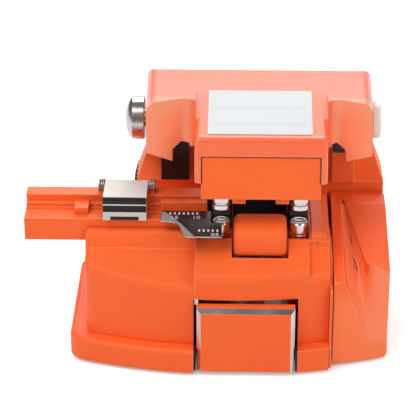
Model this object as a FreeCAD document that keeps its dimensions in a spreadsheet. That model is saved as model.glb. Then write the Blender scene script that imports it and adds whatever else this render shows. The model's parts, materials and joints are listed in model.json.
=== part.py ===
import FreeCAD, Part
import math
import os

import Sketcher

# Fibre cleaver.
# Frame: millimetres, X to the right across the fibre's cut plane (x = 0), Y to the rear, Z up.
# The origin is on the rest face, under the cut plane, at the middle of the depth.

SIZES = {
    # general fits
    "seat_gap": 0.02,
    "slide_gap": 0.3,
    "pin_gap": 0.06,
    # housing outline
    "front_y": -28.0,
    "rear_y": 22.0,
    "half_width": 28.5,
    "flange_left": 42.4,
    "flange_rear": 15.5,
    "flange_lip": 0.4,
    "flange_step": 2.8,
    "flange_top": 6.3,
    "flange_corner": 5.0,
    "flange_corner_rear": 3.0,
    "bow_radius": 100.0,
    "bow_centre": -6.5,
    # sole and base plate
    "sole_thick": 0.8,
    "sole_inset": 1.4,
    "plate_thick": 1.2,
    "plate_inset": 3.0,
    "plate_front": 6.5,
    "base_screw_head": 3.4,
    "base_screw_grip": 3.4,
    "flange_round": 1.2,
    # left front block
    "block_left": 38.8,
    "block_right": 14.2,
    "block_face_top": 20.2,
    "block_slope_back": 12.5,
    "block_slope_top": 25.4,
    "block_rim_run": 1.2,
    "block_rim_top": 28.9,
    "block_corner": 3.0,
    "block_round": 1.8,
    "rim_round": 0.9,
    # centre front block and deck
    "centre_face_top": 23.4,
    "centre_slope_back": 12.0,
    "deck_top": 28.0,
    "centre_right": 10.8,
    "strip_drop": 1.4,
    "body_right": 15.4,
    "deck_back": 36.5,
    "well_left": 13.7,
    "well_front": 12.9,
    "well_back": 33.0,
    "well_floor": 20.0,
    "side_pad_rise": 1.6,
    "side_pad_left": 11.4,
    "side_pad_width": 3.2,
    "side_pad_front": 12.4,
    "side_pad_back": 32.3,
    "side_pad_bevel": 0.8,
    "lug_left": 13.1,
    "lug_front": 11.6,
    "lug_length": 1.8,
    "lug_top": 28.1,
    # rear block
    "rear_front": 36.6,
    "rear_edge_top": 30.4,
    "rear_slope_back": 43.0,
    "rear_top": 36.0,
    "rear_shoulder": 25.6,
    "rear_corner": 5.0,
    # hinge
    "hinge_depth": 40.0,
    "hinge_height": 44.6,
    "hinge_shaft_size": 4.0,
    "lug_inner": 16.5,
    "lug_outer": 21.6,
    "lug_radius": 4.0,
    "hinge_block_left": 22.8,
    "set_screw_size": 1.8,
    "lid_open_angle": 8.0,
    "collar_size": 9.8,
    "collar_width": 3.2,
    "collar_dome": 1.4,
    "cap_size": 8.5,
    "cap_flange_width": 1.14,
    "cap_button_size": 7.48,
    "cap_width": 1.9,
    "spring_size": 7.4,
    "spring_wire": 0.9,
    "spring_length": 16.0,
    # lid, measured from the hinge axis with the lid shut
    "lid_half": 25.75,
    "lid_front_half": 24.6,
    "lid_shift": -0.45,
    "lid_wall": 1.9,
    "lid_top": 10.8,
    "lid_rear": 6.5,
    "lid_rear_edge": 2.4,
    "lid_round": 2.4,
    "lid_back_round": 4.4,
    "nose_edge": 1.1,
    "nose_fillet": 2.4,
    "lid_side_front": 25.2,
    "lid_inner_front": 19.6,
    "nose_half": 14.4,
    "nose_front": 30.2,
    "ramp_start": 14.6,
    "ramp_end": 28.5,
    "ramp_end_height": 4.9,
    "lip_height": 4.0,
    "lip_bottom": 0.4,
    "arm_bottom": 5.7,
    "arm_wall": 1.4,
    "arm_depth": 6.0,
    "cheek_heel": 1.1,
    "cheek_back_reach": 9.0,
    "cheek_edge": 0.3,
    "ramp_wall": 1.14,
    "hook_bevel": 2.0,
    "hook_bevel_drop": 1.7,
    "cheek_edge_rise": 0.6,
    "hook_left": 19.0,
    "hook_bottom": 3.2,
    "hook_top": 1.1,
    "panel_thick": 1.5,
    "panel_bottom": 9.4,
    "panel_sink": 0.4,
    "label_width": 22.6,
    "label_length": 14.9,
    "label_thick": 0.15,
    "label_shift": 0.3,
    "insert_bottom": 8.6,
    "insert_tab_bottom": 10.9,
    "insert_tab_left": 3.3,
    "insert_tab_right": 6.2,
    "insert_tab_thick": 1.6,
    "insert_notch": 3.4,
    # posts and clamp pads
    "post_offset": 8.6,
    "post_depth": 15.5,
    "post_size": 4.0,
    "post_top": 31.1,
    "post_gap": 0.1,
    "stop_screw_size": 2.7,
    "stop_screw_deep": 1.2,
    "stop_slot_width": 0.5,
    "fibre_depth": 19.2,
    "fibre_height": 31.1,
    "pad_width": 4.0,
    "pad_length": 2.4,
    "pad_thick": 1.5,
    "anvil_size": 2.4,
    "anvil_tip": 34.0,
    # carriage
    "carriage_left": 13.8,
    "carriage_right": 7.8,
    "plate_low": 0.9,
    "plate_high": 16.9,
    "plate_deep": 3.0,
    "plate_bevel": 1.0,
    "recess_side_gap": 0.7,
    "recess_top_gap": 0.9,
    "carriage_travel": 11.0,
    "carriage_length": 21.0,
    "carriage_block_low": 5.4,
    "carriage_block_high": 15.9,
    "carriage_side_gap": 1.2,
    "rail_width": 5.0,
    "rail_height": 4.6,
    "blade_size": 16.0,
    "blade_thick": 0.8,
    "blade_depth": 16.8,
    "blade_height": 23.1,
    "blade_hub_size": 6.0,
    "blade_pin_size": 2.5,
    "blade_nut": 1.5,
    "arm_thick": 3.0,
    "guard_half": 5.85,
    "guard_front": 8.1,
    "guard_length": 7.8,
    "guard_top": 32.5,
    "guard_bottom": 25.7,
    "guard_face_top": 29.4,
    "guard_slope_run": 3.6,
    "guard_wall": 0.8,
    "guard_round": 1.3,
    "guard_gap": 0.4,
    # fibre holder bar
    "bar_left": 52.5,
    "bar_right": 11.9,
    "bar_front": 15.7,
    "bar_back": 25.7,
    "bar_bottom": 25.6,
    "bar_top": 31.0,
    "bar_step_front": 21.3,
    "bar_step_top": 31.9,
    "ledge_front": 22.0,
    "ledge_top": 33.8,
    "bar_rib_left": 22.1,
    "bar_rib_front": 19.5,
    "bar_rib_top": 33.3,
    "groove_width": 0.6,
    "tongue_width": 3.0,
    "tongue_height": 1.6,
    "tongue_depth": 23.4,
    "bridge_left": 41.4,
    "bridge_width": 3.1,
    "bridge_rise": 1.6,
    "bridge_foot": 0.8,
    # steel clamp on the bar
    "clamp_left": 34.8,
    "clamp_width": 9.6,
    "clamp_knuckle": 1.2,
    "clamp_curl": 1.3,
    "clamp_pad_inset": 1.2,
    "clamp_sheet": 0.9,
    "clamp_front": 14.5,
    "clamp_lip_bottom": 31.2,
    "clamp_flat_front": 15.8,
    "clamp_bend": 3.6,
    "clamp_face_top": 33.1,
    "clamp_axis_depth": 24.0,
    "clamp_axis_height": 35.2,
    "clamp_pin_size": 1.2,
    "clamp_ear_wall": 1.1,
    "clamp_ear_gap": 0.25,
    # scale plate
    "scale_thick": 0.3,
    "scale_lift": 0.3,
    "scale_curve": 3.0,
    "scale_left": 22.1,
    "scale_right": 8.4,
    "scale_back": 18.8,
    "scale_mid": 15.0,
    "scale_front": 6.6,
    "scale_step_left": 16.9,
    "scale_boss_left": 16.8,
    "scale_boss_front": 12.4,
    # scrap bin
    "bin_left": 16.3,
    "bin_right": 28.8,
    "bin_back": 36.0,
    "bin_setback": 1.6,
    "bin_hollow_front": 14.0,
    "bin_hollow_width": 5.0,
    "bin_face_top": 20.9,
    "bin_slope_back": 30.0,
    "bin_top": 28.0,
    "bin_bottom": 0.8,
    "bin_wall": 1.8,
    "bin_toe_top": 3.5,
    "bin_ridge_left": 18.6,
    "bin_ridge_back": 34.5,
    "bin_ridge_right": 23.2,
    "bin_ridge_front": 12.9,
    "bin_panel_front": 9.8,
    "bin_panel_round": 3.3,
    "bin_panel_turn": 26.5,
    "bin_scoop_slant": 20.5,
    "bin_hollow_top": 12.3,
    "bin_corner": 1.0,
    "bin_grip_width": 0.6,
    "bin_grip_length": 3.4,
    "bin_grip_reach": 2.4,
    "upper_grip_left": 20.4,
    "upper_grip_front": 25.0,
    "lower_grip_left": 20.9,
    "lower_grip_front": 18.6,
    "bin_grip_deep": 0.8,
    # rear dial
    "dial_size": 19.6,
    "dial_width": 4.0,
    "dial_x": 19.4,
    "dial_z": 22.6,
    "dial_shaft_size": 3.0,
    "dial_teeth": 64.0,
    "dial_tooth_deep": 0.45,
}

doc = FreeCAD.newDocument("fibre_cleaver")
sheet = doc.addObject("Spreadsheet::Sheet", "size")
for row, (alias, number) in enumerate(SIZES.items(), start=1):
    sheet.set(f"A{row}", str(number))
    sheet.setAlias(f"A{row}", alias)
doc.recompute()

PIECES = []


def spelled(formula):
    """Return the formula with each named size pointing at the sheet."""
    written = ""
    word = ""
    for letter in str(formula) + " ":
        if letter.isalnum() or letter in "_.":
            word += letter
            continue
        written += "size." + word if word in SIZES else word
        written += letter
        word = ""
    return written.strip()


def value(formula):
    """Return the number that a formula of named sizes gives."""
    result = sheet.evalExpression(str(formula))
    return float(getattr(result, "Value", result))


def both(first, sign, second):
    return f"({first}) {sign} ({second})"


def deep(distance):
    """Return the y of a point that lies this far behind the front plate's face."""
    return f"front_y + ({distance})"


def bow(across, setback):
    """Return the y of the bowed front at one x, set back from the front plate's face."""
    return f"front_y + ({setback}) + bow_radius - sqrt(bow_radius ^ 2 - (({across}) - bow_centre) ^ 2)"


# ---------------------------------------------------------------- sketched bodies

PLANES = {"XY": "XY_Plane", "XZ": "XZ_Plane", "YZ": "YZ_Plane"}


def new_body(label):
    body = doc.addObject("PartDesign::Body", label)
    doc.recompute()
    return body


def plane_sketch(body, plane, height):
    """Attach a sketch to one of the body's own origin planes, at a height along its normal."""
    sketch = body.newObject("Sketcher::SketchObject", body.Name + "_outline")
    role = PLANES[plane]
    base = next(part for part in body.Origin.OriginFeatures if part.Role == role)
    sketch.AttachmentSupport = [(base, "")]
    sketch.MapMode = "FlatFace"
    sign = "-" if plane == "XZ" else ""
    sketch.setExpression("AttachmentOffset.Base.z", spelled(f"{sign}({height})"))
    return sketch


def arc_between(start, end, radius):
    """Return the arc that runs anticlockwise from start to end."""
    chord = end - start
    middle = (start + end) * 0.5
    rise = math.sqrt(max(radius ** 2 - (chord.Length / 2) ** 2, 0.0))
    aside = FreeCAD.Vector(-chord.y, chord.x, 0).normalize()
    centre = middle + aside * rise
    first = math.atan2(start.y - centre.y, start.x - centre.x)
    last = math.atan2(end.y - centre.y, end.x - centre.x)
    circle = Part.Circle(centre, FreeCAD.Vector(0, 0, 1), radius)
    return Part.ArcOfCircle(circle, first, last)


def draw_outline(sketch, points):
    """Draw a closed outline; a third entry starts an arc of that radius, clockwise if it has a minus."""
    count = len(points)
    ends = [(2, 1) if str(point[-1]).startswith("-") and len(point) == 3 else (1, 2) for point in points]
    places = [FreeCAD.Vector(value(point[0]), value(point[1]), 0) for point in points]
    for index, point in enumerate(points):
        start = places[index]
        end = places[(index + 1) % count]
        if ends[index] == (2, 1):
            sketch.addGeometry(arc_between(end, start, -value(point[2])), False)
        elif len(point) == 3:
            sketch.addGeometry(arc_between(start, end, value(point[2])), False)
        else:
            sketch.addGeometry(Part.LineSegment(start, end), False)
    for index in range(count):
        following = (index + 1) % count
        sketch.addConstraint(
            Sketcher.Constraint("Coincident", index, ends[index][1], following, ends[following][0])
        )
    for index, point in enumerate(points):
        for kind, name, formula, number in (
            ("DistanceX", "along", point[0], places[index].x),
            ("DistanceY", "up", point[1], places[index].y),
        ):
            place = sketch.addConstraint(Sketcher.Constraint(kind, -1, 1, index, ends[index][0], number))
            sketch.renameConstraint(place, f"{name}_{index}")
            sketch.setExpression(f"Constraints.{name}_{index}", spelled(formula))
        if len(point) == 3:
            reach = str(point[2]).lstrip("-")
            place = sketch.addConstraint(Sketcher.Constraint("Radius", index, value(reach)))
            sketch.renameConstraint(place, f"round_{index}")
            sketch.setExpression(f"Constraints.round_{index}", spelled(reach))


def draw_circle(sketch, across, along, radius):
    centre = FreeCAD.Vector(value(across), value(along), 0)
    sketch.addGeometry(Part.Circle(centre, FreeCAD.Vector(0, 0, 1), value(radius)), False)
    for kind, name, formula in (("DistanceX", "along", across), ("DistanceY", "up", along)):
        place = sketch.addConstraint(Sketcher.Constraint(kind, -1, 1, 0, 3, value(formula)))
        sketch.renameConstraint(place, name + "_0")
        sketch.setExpression(f"Constraints.{name}_0", spelled(formula))
    place = sketch.addConstraint(Sketcher.Constraint("Radius", 0, value(radius)))
    sketch.renameConstraint(place, "round_0")
    sketch.setExpression("Constraints.round_0", spelled(radius))


def extrude(body, sketch, plane, start, end, cutting):
    kind = "PartDesign::Pocket" if cutting else "PartDesign::Pad"
    feature = body.newObject(kind, body.Name + ("_pocket" if cutting else "_pad"))
    feature.Profile = sketch
    feature.Reversed = cutting
    feature.setExpression("Length", spelled(both(end, "-", start)))
    before = 0.0 if body.Shape.isNull() else body.Shape.Volume
    doc.recompute()
    after = body.Shape.Volume
    if (cutting and after >= before) or (not cutting and after <= before):
        raise RuntimeError(f"{feature.Name} changes nothing in {body.Label}")
    return feature


def form(body, plane, points, start, end, cutting=False):
    """Pad or pocket a closed outline between two places along the plane's axis."""
    sketch = plane_sketch(body, plane, end if plane == "XZ" else start)
    draw_outline(sketch, points)
    return extrude(body, sketch, plane, start, end, cutting)


def form_circle(body, plane, centre, radius, start, end, cutting=False):
    sketch = plane_sketch(body, plane, end if plane == "XZ" else start)
    draw_circle(sketch, centre[0], centre[1], radius)
    return extrude(body, sketch, plane, start, end, cutting)


def rectangle(left, right, low, high):
    return [(left, low), (right, low), (right, high), (left, high)]


def soften(body, radius, test, chamfer=False):
    """Round or chamfer the edges of the body's last feature whose middle passes the test."""
    base = body.Tip
    names = []
    for index, edge in enumerate(base.Shape.Edges, start=1):
        middle = edge.valueAt((edge.FirstParameter + edge.LastParameter) / 2)
        if test(edge, middle):
            names.append(f"Edge{index}")
    if not names:
        raise RuntimeError(f"no edge of {body.Label} passes the test")
    kind = "PartDesign::Chamfer" if chamfer else "PartDesign::Fillet"
    feature = body.newObject(kind, body.Name + "_edge")
    feature.Base = (base, names)
    feature.setExpression("Size" if chamfer else "Radius", spelled(radius))
    doc.recompute()
    if "Invalid" in feature.State or body.Shape.isNull() or not body.Shape.isValid():
        raise RuntimeError(f"the {radius} of {body.Label} can't be made on {names}")
    return feature


def near(number, formula, reach=0.02):
    return abs(number - value(formula)) < reach


def upright(edge):
    """Tell whether the edge is a straight one along z."""
    if not isinstance(edge.Curve, Part.Line):
        return False
    return abs(edge.Curve.Direction.z) > 0.999


def place_at(piece, x, y, z):
    piece.setExpression("Placement.Base.x", spelled(x))
    piece.setExpression("Placement.Base.y", spelled(y))
    piece.setExpression("Placement.Base.z", spelled(z))


def box(name, x_range, y_range, z_range):
    piece = doc.addObject("Part::Box", name)
    for side, (low, high) in (("Length", x_range), ("Width", y_range), ("Height", z_range)):
        piece.setExpression(side, spelled(both(high, "-", low)))
    place_at(piece, x_range[0], y_range[0], z_range[0])
    return piece


TURNS = {
    "x": FreeCAD.Rotation(FreeCAD.Vector(0, 1, 0), 90),
    "y": FreeCAD.Rotation(FreeCAD.Vector(1, 0, 0), -90),
    "z": FreeCAD.Rotation(),
}


def axis_place(piece, axis, across, along, start):
    """Put a turned piece on an axis; across and along are the two other coordinates in x, y, z order."""
    piece.Placement = FreeCAD.Placement(FreeCAD.Vector(), TURNS[axis])
    spots = {"x": (start, across, along), "y": (across, start, along), "z": (across, along, start)}
    place_at(piece, *spots[axis])


def rod(name, axis, across, along, radius, start, end):
    piece = doc.addObject("Part::Cylinder", name)
    piece.setExpression("Radius", spelled(radius))
    piece.setExpression("Height", spelled(both(end, "-", start)))
    axis_place(piece, axis, across, along, start)
    return piece


def cone(name, axis, across, along, first, last, start, end):
    piece = doc.addObject("Part::Cone", name)
    piece.setExpression("Radius1", spelled(first))
    piece.setExpression("Radius2", spelled(last))
    piece.setExpression("Height", spelled(both(end, "-", start)))
    axis_place(piece, axis, across, along, start)
    return piece


def fuse(name, pieces):
    joined = doc.addObject("Part::MultiFuse", name)
    joined.Shapes = pieces
    joined.Refine = True
    doc.recompute()
    return joined


def cut(name, base, tools):
    result = doc.addObject("Part::Cut", name)
    result.Base = base
    result.Tool = tools[0] if len(tools) == 1 else fuse(name + "_tools", tools)
    doc.recompute()
    return result


def group(name, pieces):
    """Keep separate solids of one kind together as one node."""
    result = doc.addObject("Part::Compound", name)
    result.Links = pieces
    doc.recompute()
    return result


def keep(piece, label):
    piece.Label = label
    PIECES.append(piece)
    return piece


def keep_on_lid(piece, label):
    """Keep a piece drawn about the hinge axis with the lid shut, and raise it to the lid's rest."""
    piece.Placement = FreeCAD.Placement(FreeCAD.Vector(), FreeCAD.Rotation(FreeCAD.Vector(-1, 0, 0), 1))
    place_at(piece, "0", deep("hinge_depth"), "hinge_height")
    piece.setExpression("Placement.Rotation.Angle", spelled("lid_open_angle"))
    return keep(piece, label)


# ---------------------------------------------------------------- base

PLATE_TOP = "sole_thick + plate_thick"
SLOT_LEFT = "-(carriage_left + recess_side_gap)"
SLOT_RIGHT = "carriage_right + recess_side_gap"
SLOT_BACK = deep("plate_deep + carriage_travel + 3 * recess_side_gap")
CAVITY_BACK = deep("plate_deep + carriage_length + carriage_travel + 2 * recess_side_gap")
RAIL_CENTRE = "(carriage_right - carriage_left) / 2"
SCREW_ROWS = [deep("plate_front + plate_inset + base_screw_head"), "rear_y - plate_inset - base_screw_head"]
SCREW_COLUMNS = [
    "-half_width + plate_inset + base_screw_head",
    "body_right - plate_inset - base_screw_head / 2",
]


def base_outline(inset, front):
    """Return the outline of the base, inset from the housing, with the notch of the front plate."""
    left = f"-flange_left + ({inset})"
    right = f"body_right - ({inset})"
    notch_left = f"{SLOT_LEFT} - ({inset}) * 0.5"
    notch_right = f"{SLOT_RIGHT} + ({inset}) * 0.5"
    return [
        (left, bow(left, front), "bow_radius"),
        (notch_left, bow(notch_left, front)),
        (notch_left, SLOT_BACK),
        (notch_right, SLOT_BACK),
        (notch_right, bow(notch_right, front), "bow_radius"),
        (right, bow(right, front)),
        (right, both(deep("deck_back"), "+", inset)),
        (f"half_width - ({inset})", both(deep("deck_back"), "+", inset)),
        (f"half_width - ({inset})", f"rear_y - ({inset})"),
        (f"-half_width + ({inset})", f"rear_y - ({inset})"),
        (f"-half_width + ({inset})", f"flange_rear - ({inset})"),
        (left, f"flange_rear - ({inset})"),
    ]


def plate_outline(gap):
    left = f"-half_width + plate_inset - ({gap})"
    right = f"body_right - plate_inset + ({gap})"
    front = both(deep("plate_front"), "-", gap)
    back = f"rear_y - plate_inset + ({gap})"
    return [
        (left, front),
        (SLOT_LEFT, front),
        (SLOT_LEFT, SLOT_BACK),
        (SLOT_RIGHT, SLOT_BACK),
        (SLOT_RIGHT, front),
        (right, front),
        (right, back),
        (left, back),
    ]


def make_base():
    housing = new_body("lower_housing")
    form(housing, "XY", base_outline("0", "-flange_lip"), "sole_thick", "flange_top")
    left = value("-flange_left")
    soften(
        housing, "flange_corner", lambda edge,
        middle: upright(edge) and near(middle.x, left) and middle.y < 0,
    )
    soften(
        housing, "flange_corner_rear", lambda edge,
        middle: upright(edge) and near(middle.x, left) and middle.y > 0,
    )
    soften(housing, "rear_corner", lambda edge, middle: upright(edge) and near(middle.y, "rear_y"))
    lip_end = value(SLOT_LEFT) - 0.1
    soften(
        housing,
        "flange_round",
        lambda edge, middle: near(middle.z, "flange_top")
        and (
            middle.x < lip_end and middle.y < value(deep("block_slope_back"))
            or middle.x < value("-block_left")
        ),
    )
    cavity = rectangle(SLOT_LEFT, SLOT_RIGHT, SLOT_BACK, CAVITY_BACK)
    form(housing, "XY", cavity, "sole_thick", "flange_top", cutting=True)
    form(housing, "XY", plate_outline("seat_gap"), "sole_thick", PLATE_TOP, cutting=True)
    plate = new_body("base_plate")
    form(plate, "XY", plate_outline("0"), "sole_thick", PLATE_TOP)
    sole = new_body("sole_pad")
    form(sole, "XY", base_outline("sole_inset", "sole_inset"), "0", "sole_thick")
    inner_left = value("-flange_left + sole_inset")
    soften(sole, "flange_corner_rear", lambda edge, middle: upright(edge) and near(middle.x, inner_left))
    soften(sole, "rear_corner", lambda edge, middle: upright(edge) and near(middle.y, "rear_y - sole_inset"))
    screws = []
    for spot in zip(SCREW_COLUMNS, SCREW_ROWS):
        thread = "base_screw_head / 4"
        end = f"{PLATE_TOP} + base_screw_grip"
        radius = "base_screw_head / 2"
        form_circle(housing, "XY", spot, f"{thread} + seat_gap", PLATE_TOP, f"{end} + seat_gap",
                    cutting=True)
        form_circle(plate, "XY", spot, f"{radius} + seat_gap", "sole_thick", PLATE_TOP, cutting=True)
        head = rod("screw_head", "z", *spot, "base_screw_head / 2", "sole_thick", PLATE_TOP)
        stem = rod("screw_stem", "z", *spot, thread, PLATE_TOP, end)
        screws.append(fuse("base_screw", [head, stem]))
    keep(housing, "lower_housing")
    keep(plate, "base_plate")
    keep(sole, "sole_pad")
    keep(group("base_screw_set", screws), "base_screws")


# ---------------------------------------------------------------- main casting

CHANNEL_FLOOR = "bar_bottom - slide_gap"
CHANNEL_FRONT = deep("bar_front - slide_gap")
CHANNEL_BACK = deep("bar_back + slide_gap")
HINGE_BORE = "hinge_shaft_size / 2 + pin_gap"
GUARD_SIDE = "guard_half + guard_gap"


def left_block_profile():
    return [
        (deep("flange_step"), "flange_top"),
        (deep("flange_step"), "block_face_top"),
        (deep("block_slope_back"), "block_slope_top"),
        (deep("block_slope_back + block_rim_run"), "block_rim_top"),
        (CHANNEL_FRONT, "block_rim_top"),
        (CHANNEL_FRONT, CHANNEL_FLOOR),
        (deep("rear_front"), CHANNEL_FLOOR),
        (deep("rear_front"), "flange_top"),
    ]


def centre_profile(drop):
    return [
        (deep("flange_step"), "flange_top"),
        (deep("flange_step"), f"centre_face_top - ({drop})"),
        (deep("centre_slope_back"), f"deck_top - ({drop}) - seat_gap"),
        (deep("centre_slope_back"), "deck_top"),
        (deep("rear_front"), "deck_top"),
        (deep("rear_front"), "flange_top"),
    ]


def is_block_brow(edge, middle):
    """Tell the edge where the front blocks' bowed face meets their slope."""
    on_bow = abs(middle.y - value(bow(middle.x, "flange_step"))) < 0.05
    return on_bow and not upright(edge) and middle.z > value("flange_top + 1")


def is_rim_edge(edge, middle):
    """Tell the edges along the left block's rim and down its left end."""
    rim = near(middle.y, deep("block_slope_back + block_rim_run")) and middle.x < value("-scale_boss_left")
    side = near(middle.x, "-block_left") and middle.z > value("block_slope_top") + 1.0
    return rim and near(middle.z, "block_rim_top") or side and middle.y < value(CHANNEL_FRONT) - 0.1


def make_main_body():
    body = new_body("main_body")
    form(body, "YZ", left_block_profile(), "-block_left", "-block_right")
    form(body, "YZ", centre_profile("0"), "-block_right", "centre_right")
    form(body, "YZ", centre_profile("strip_drop"), "centre_right", "body_right")
    rear = [
        (deep("rear_front"), "flange_top"),
        (deep("rear_front"), "rear_edge_top"),
        (deep("rear_slope_back"), "rear_top"),
        ("rear_y", "rear_top"),
        ("rear_y", "flange_top"),
    ]
    form(body, "YZ", rear, "-half_width", "half_width")
    side_pad = rectangle(
        "side_pad_left", "side_pad_left + side_pad_width", deep("side_pad_front"), deep("side_pad_back"),
    )
    form(body, "XY", side_pad, "deck_top", "deck_top + side_pad_rise")
    pad_top = "deck_top + side_pad_rise"
    soften(
        body,
        "side_pad_bevel",
        lambda edge, middle: near(middle.z, pad_top)
        and (near(middle.x, "side_pad_left + side_pad_width") or near(middle.y, deep("side_pad_front"))),
        chamfer=True,
    )
    small_lug = rectangle("lug_left", "body_right", deep("lug_front"), deep("lug_front + lug_length"))
    form(body, "XY", small_lug, "centre_face_top", "lug_top")
    tongue = rectangle(deep("tongue_depth - tongue_width / 2"), deep("tongue_depth + tongue_width / 2"),
                       CHANNEL_FLOOR, f"{CHANNEL_FLOOR} + tongue_height")
    form(body, "YZ", tongue, "-block_left", "-block_right")
    boss = rectangle("-scale_boss_left", "-block_right", deep("scale_boss_front"), CHANNEL_FRONT)
    form(body, "XY", boss, "block_rim_top", "bar_top + scale_lift")
    lug = rectangle(
        deep("hinge_depth - lug_radius"), deep("hinge_depth + lug_radius"), "rear_edge_top", "hinge_height",
    )
    form(body, "YZ", lug, "lug_inner", "lug_outer")
    form_circle(body, "YZ", (deep("hinge_depth"), "hinge_height"), "lug_radius", "lug_inner", "lug_outer")
    form_circle(body, "YZ", (deep("hinge_depth"), "hinge_height"), HINGE_BORE,
                "lug_inner", "lug_outer", cutting=True)
    for sign in ("-", ""):
        taper = [
            (f"{sign}half_width", "rear_edge_top"),
            (f"{sign}(half_width + 1)", "rear_edge_top"),
            (f"{sign}(half_width + 1)", "rear_top + 1"),
            (f"{sign}rear_shoulder", "rear_top + 1"),
        ]
        form(body, "XZ", taper, deep("rear_front - 1"), "rear_y + 1", cutting=True)
    far_left = "-flange_left - bow_radius / 20"
    far_right = "half_width + 1"
    front = [
        (far_left, bow(far_left, "flange_step"), "bow_radius"),
        (far_right, bow(far_right, "flange_step")),
        (far_right, deep("-flange_step")),
        (far_left, deep("-flange_step")),
    ]
    form(body, "XY", front, "flange_top - 1", "deck_top + 1", cutting=True)
    soften(body, "rear_corner", lambda edge, middle: upright(edge) and near(middle.y, "rear_y"))
    left_side = value("-block_left")
    soften(
        body,
        "block_corner",
        lambda edge, middle: upright(edge)
        and near(middle.x, left_side)
        and middle.y < value(deep("block_slope_back")),
    )
    soften(body, "block_round", is_block_brow)
    soften(body, "rim_round", is_rim_edge)
    recess = rectangle(SLOT_LEFT, SLOT_RIGHT, deep("-flange_step"), CAVITY_BACK)
    form(body, "XY", recess, "flange_top", "plate_high + recess_top_gap", cutting=True)
    slot = rectangle(f"-({GUARD_SIDE})", GUARD_SIDE, deep("guard_front - guard_gap"), deep("rear_front"))
    form(body, "XY", slot, "plate_high", "deck_top + 1", cutting=True)
    well = rectangle("-well_left", "centre_right", deep("well_front"), deep("well_back"))
    form(body, "XY", well, "well_floor", "deck_top + 1", cutting=True)
    bar_seat = rectangle("-block_right - 1", "-bar_right + slide_gap", CHANNEL_FRONT, CHANNEL_BACK)
    form(body, "XY", bar_seat, f"{CHANNEL_FLOOR} + tongue_height", "deck_top + 1", cutting=True)
    bar_end = rectangle("-block_right", "-bar_right + slide_gap", CHANNEL_FRONT, CHANNEL_BACK)
    form(body, "XY", bar_end, CHANNEL_FLOOR, "deck_top + 1", cutting=True)
    hinge_seat = rectangle("-hinge_block_left - seat_gap", "-lug_inner + seat_gap", deep("rear_front - 1"),
                           deep("hinge_depth + lug_radius + seat_gap"))
    form(body, "XY", hinge_seat, "rear_edge_top", "rear_top + 1", cutting=True)
    form_circle(body, "XZ", ("-dial_x", "dial_z"), "dial_shaft_size / 2 + pin_gap",
                "rear_y - dial_width", "rear_y", cutting=True)
    keep(body, "main_body")


# ---------------------------------------------------------------- posts and pads

def make_posts():
    posts = []
    screws = []
    uppers = []
    holders = []
    pads = []
    for side in ("-", ""):
        x = f"{side}post_offset"
        y = deep("post_depth")
        radius = "post_size / 2"
        whole = rod("post_whole", "z", x, y, radius, "well_floor", "post_top")
        hole = rod(
            "post_hole", "z", x, y, "stop_screw_size / 2 + seat_gap", "post_top - stop_screw_deep",
            "post_top + 1",
        )
        posts.append(cut("post", whole, [hole]))
        disc = rod(
            "stop_disc", "z", x, y, "stop_screw_size / 2", "post_top - stop_screw_deep",
            "post_top - 2 * post_gap",
        )
        slot = box("stop_slot", (f"{x} - stop_screw_size", f"{x} + stop_screw_size"),
                   (f"{y} - stop_slot_width / 2", f"{y} + stop_slot_width / 2"),
                   ("post_top - stop_screw_deep / 2", "post_top"))
        screws.append(cut("stop_screw", disc, [slot]))
        width = (f"{x} - pad_width / 2", f"{x} + pad_width / 2")
        length = (deep("fibre_depth - pad_length / 2"), deep("fibre_depth + pad_length / 2"))
        holders.append(box("pad_holder", width, length, ("well_floor", "fibre_height - pad_thick")))
        pads.append(box("lower_pad", width, length, ("fibre_height - pad_thick", "fibre_height")))
    keep(group("post_set", posts), "lower_posts")
    keep(group("stop_set", screws), "stop_screws")
    keep(group("holder_set", holders), "pad_holders")
    keep(group("pad_set", pads), "lower_pads")


# ---------------------------------------------------------------- hinge

def ring(name, axis, across, along, outer, inner, start, end):
    outside = rod(name + "_outside", axis, across, along, outer, start, end)
    inside = rod(name + "_inside", axis, across, along, inner, f"{start} - 1", f"{end} + 1")
    return cut(name, outside, [inside])


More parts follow.
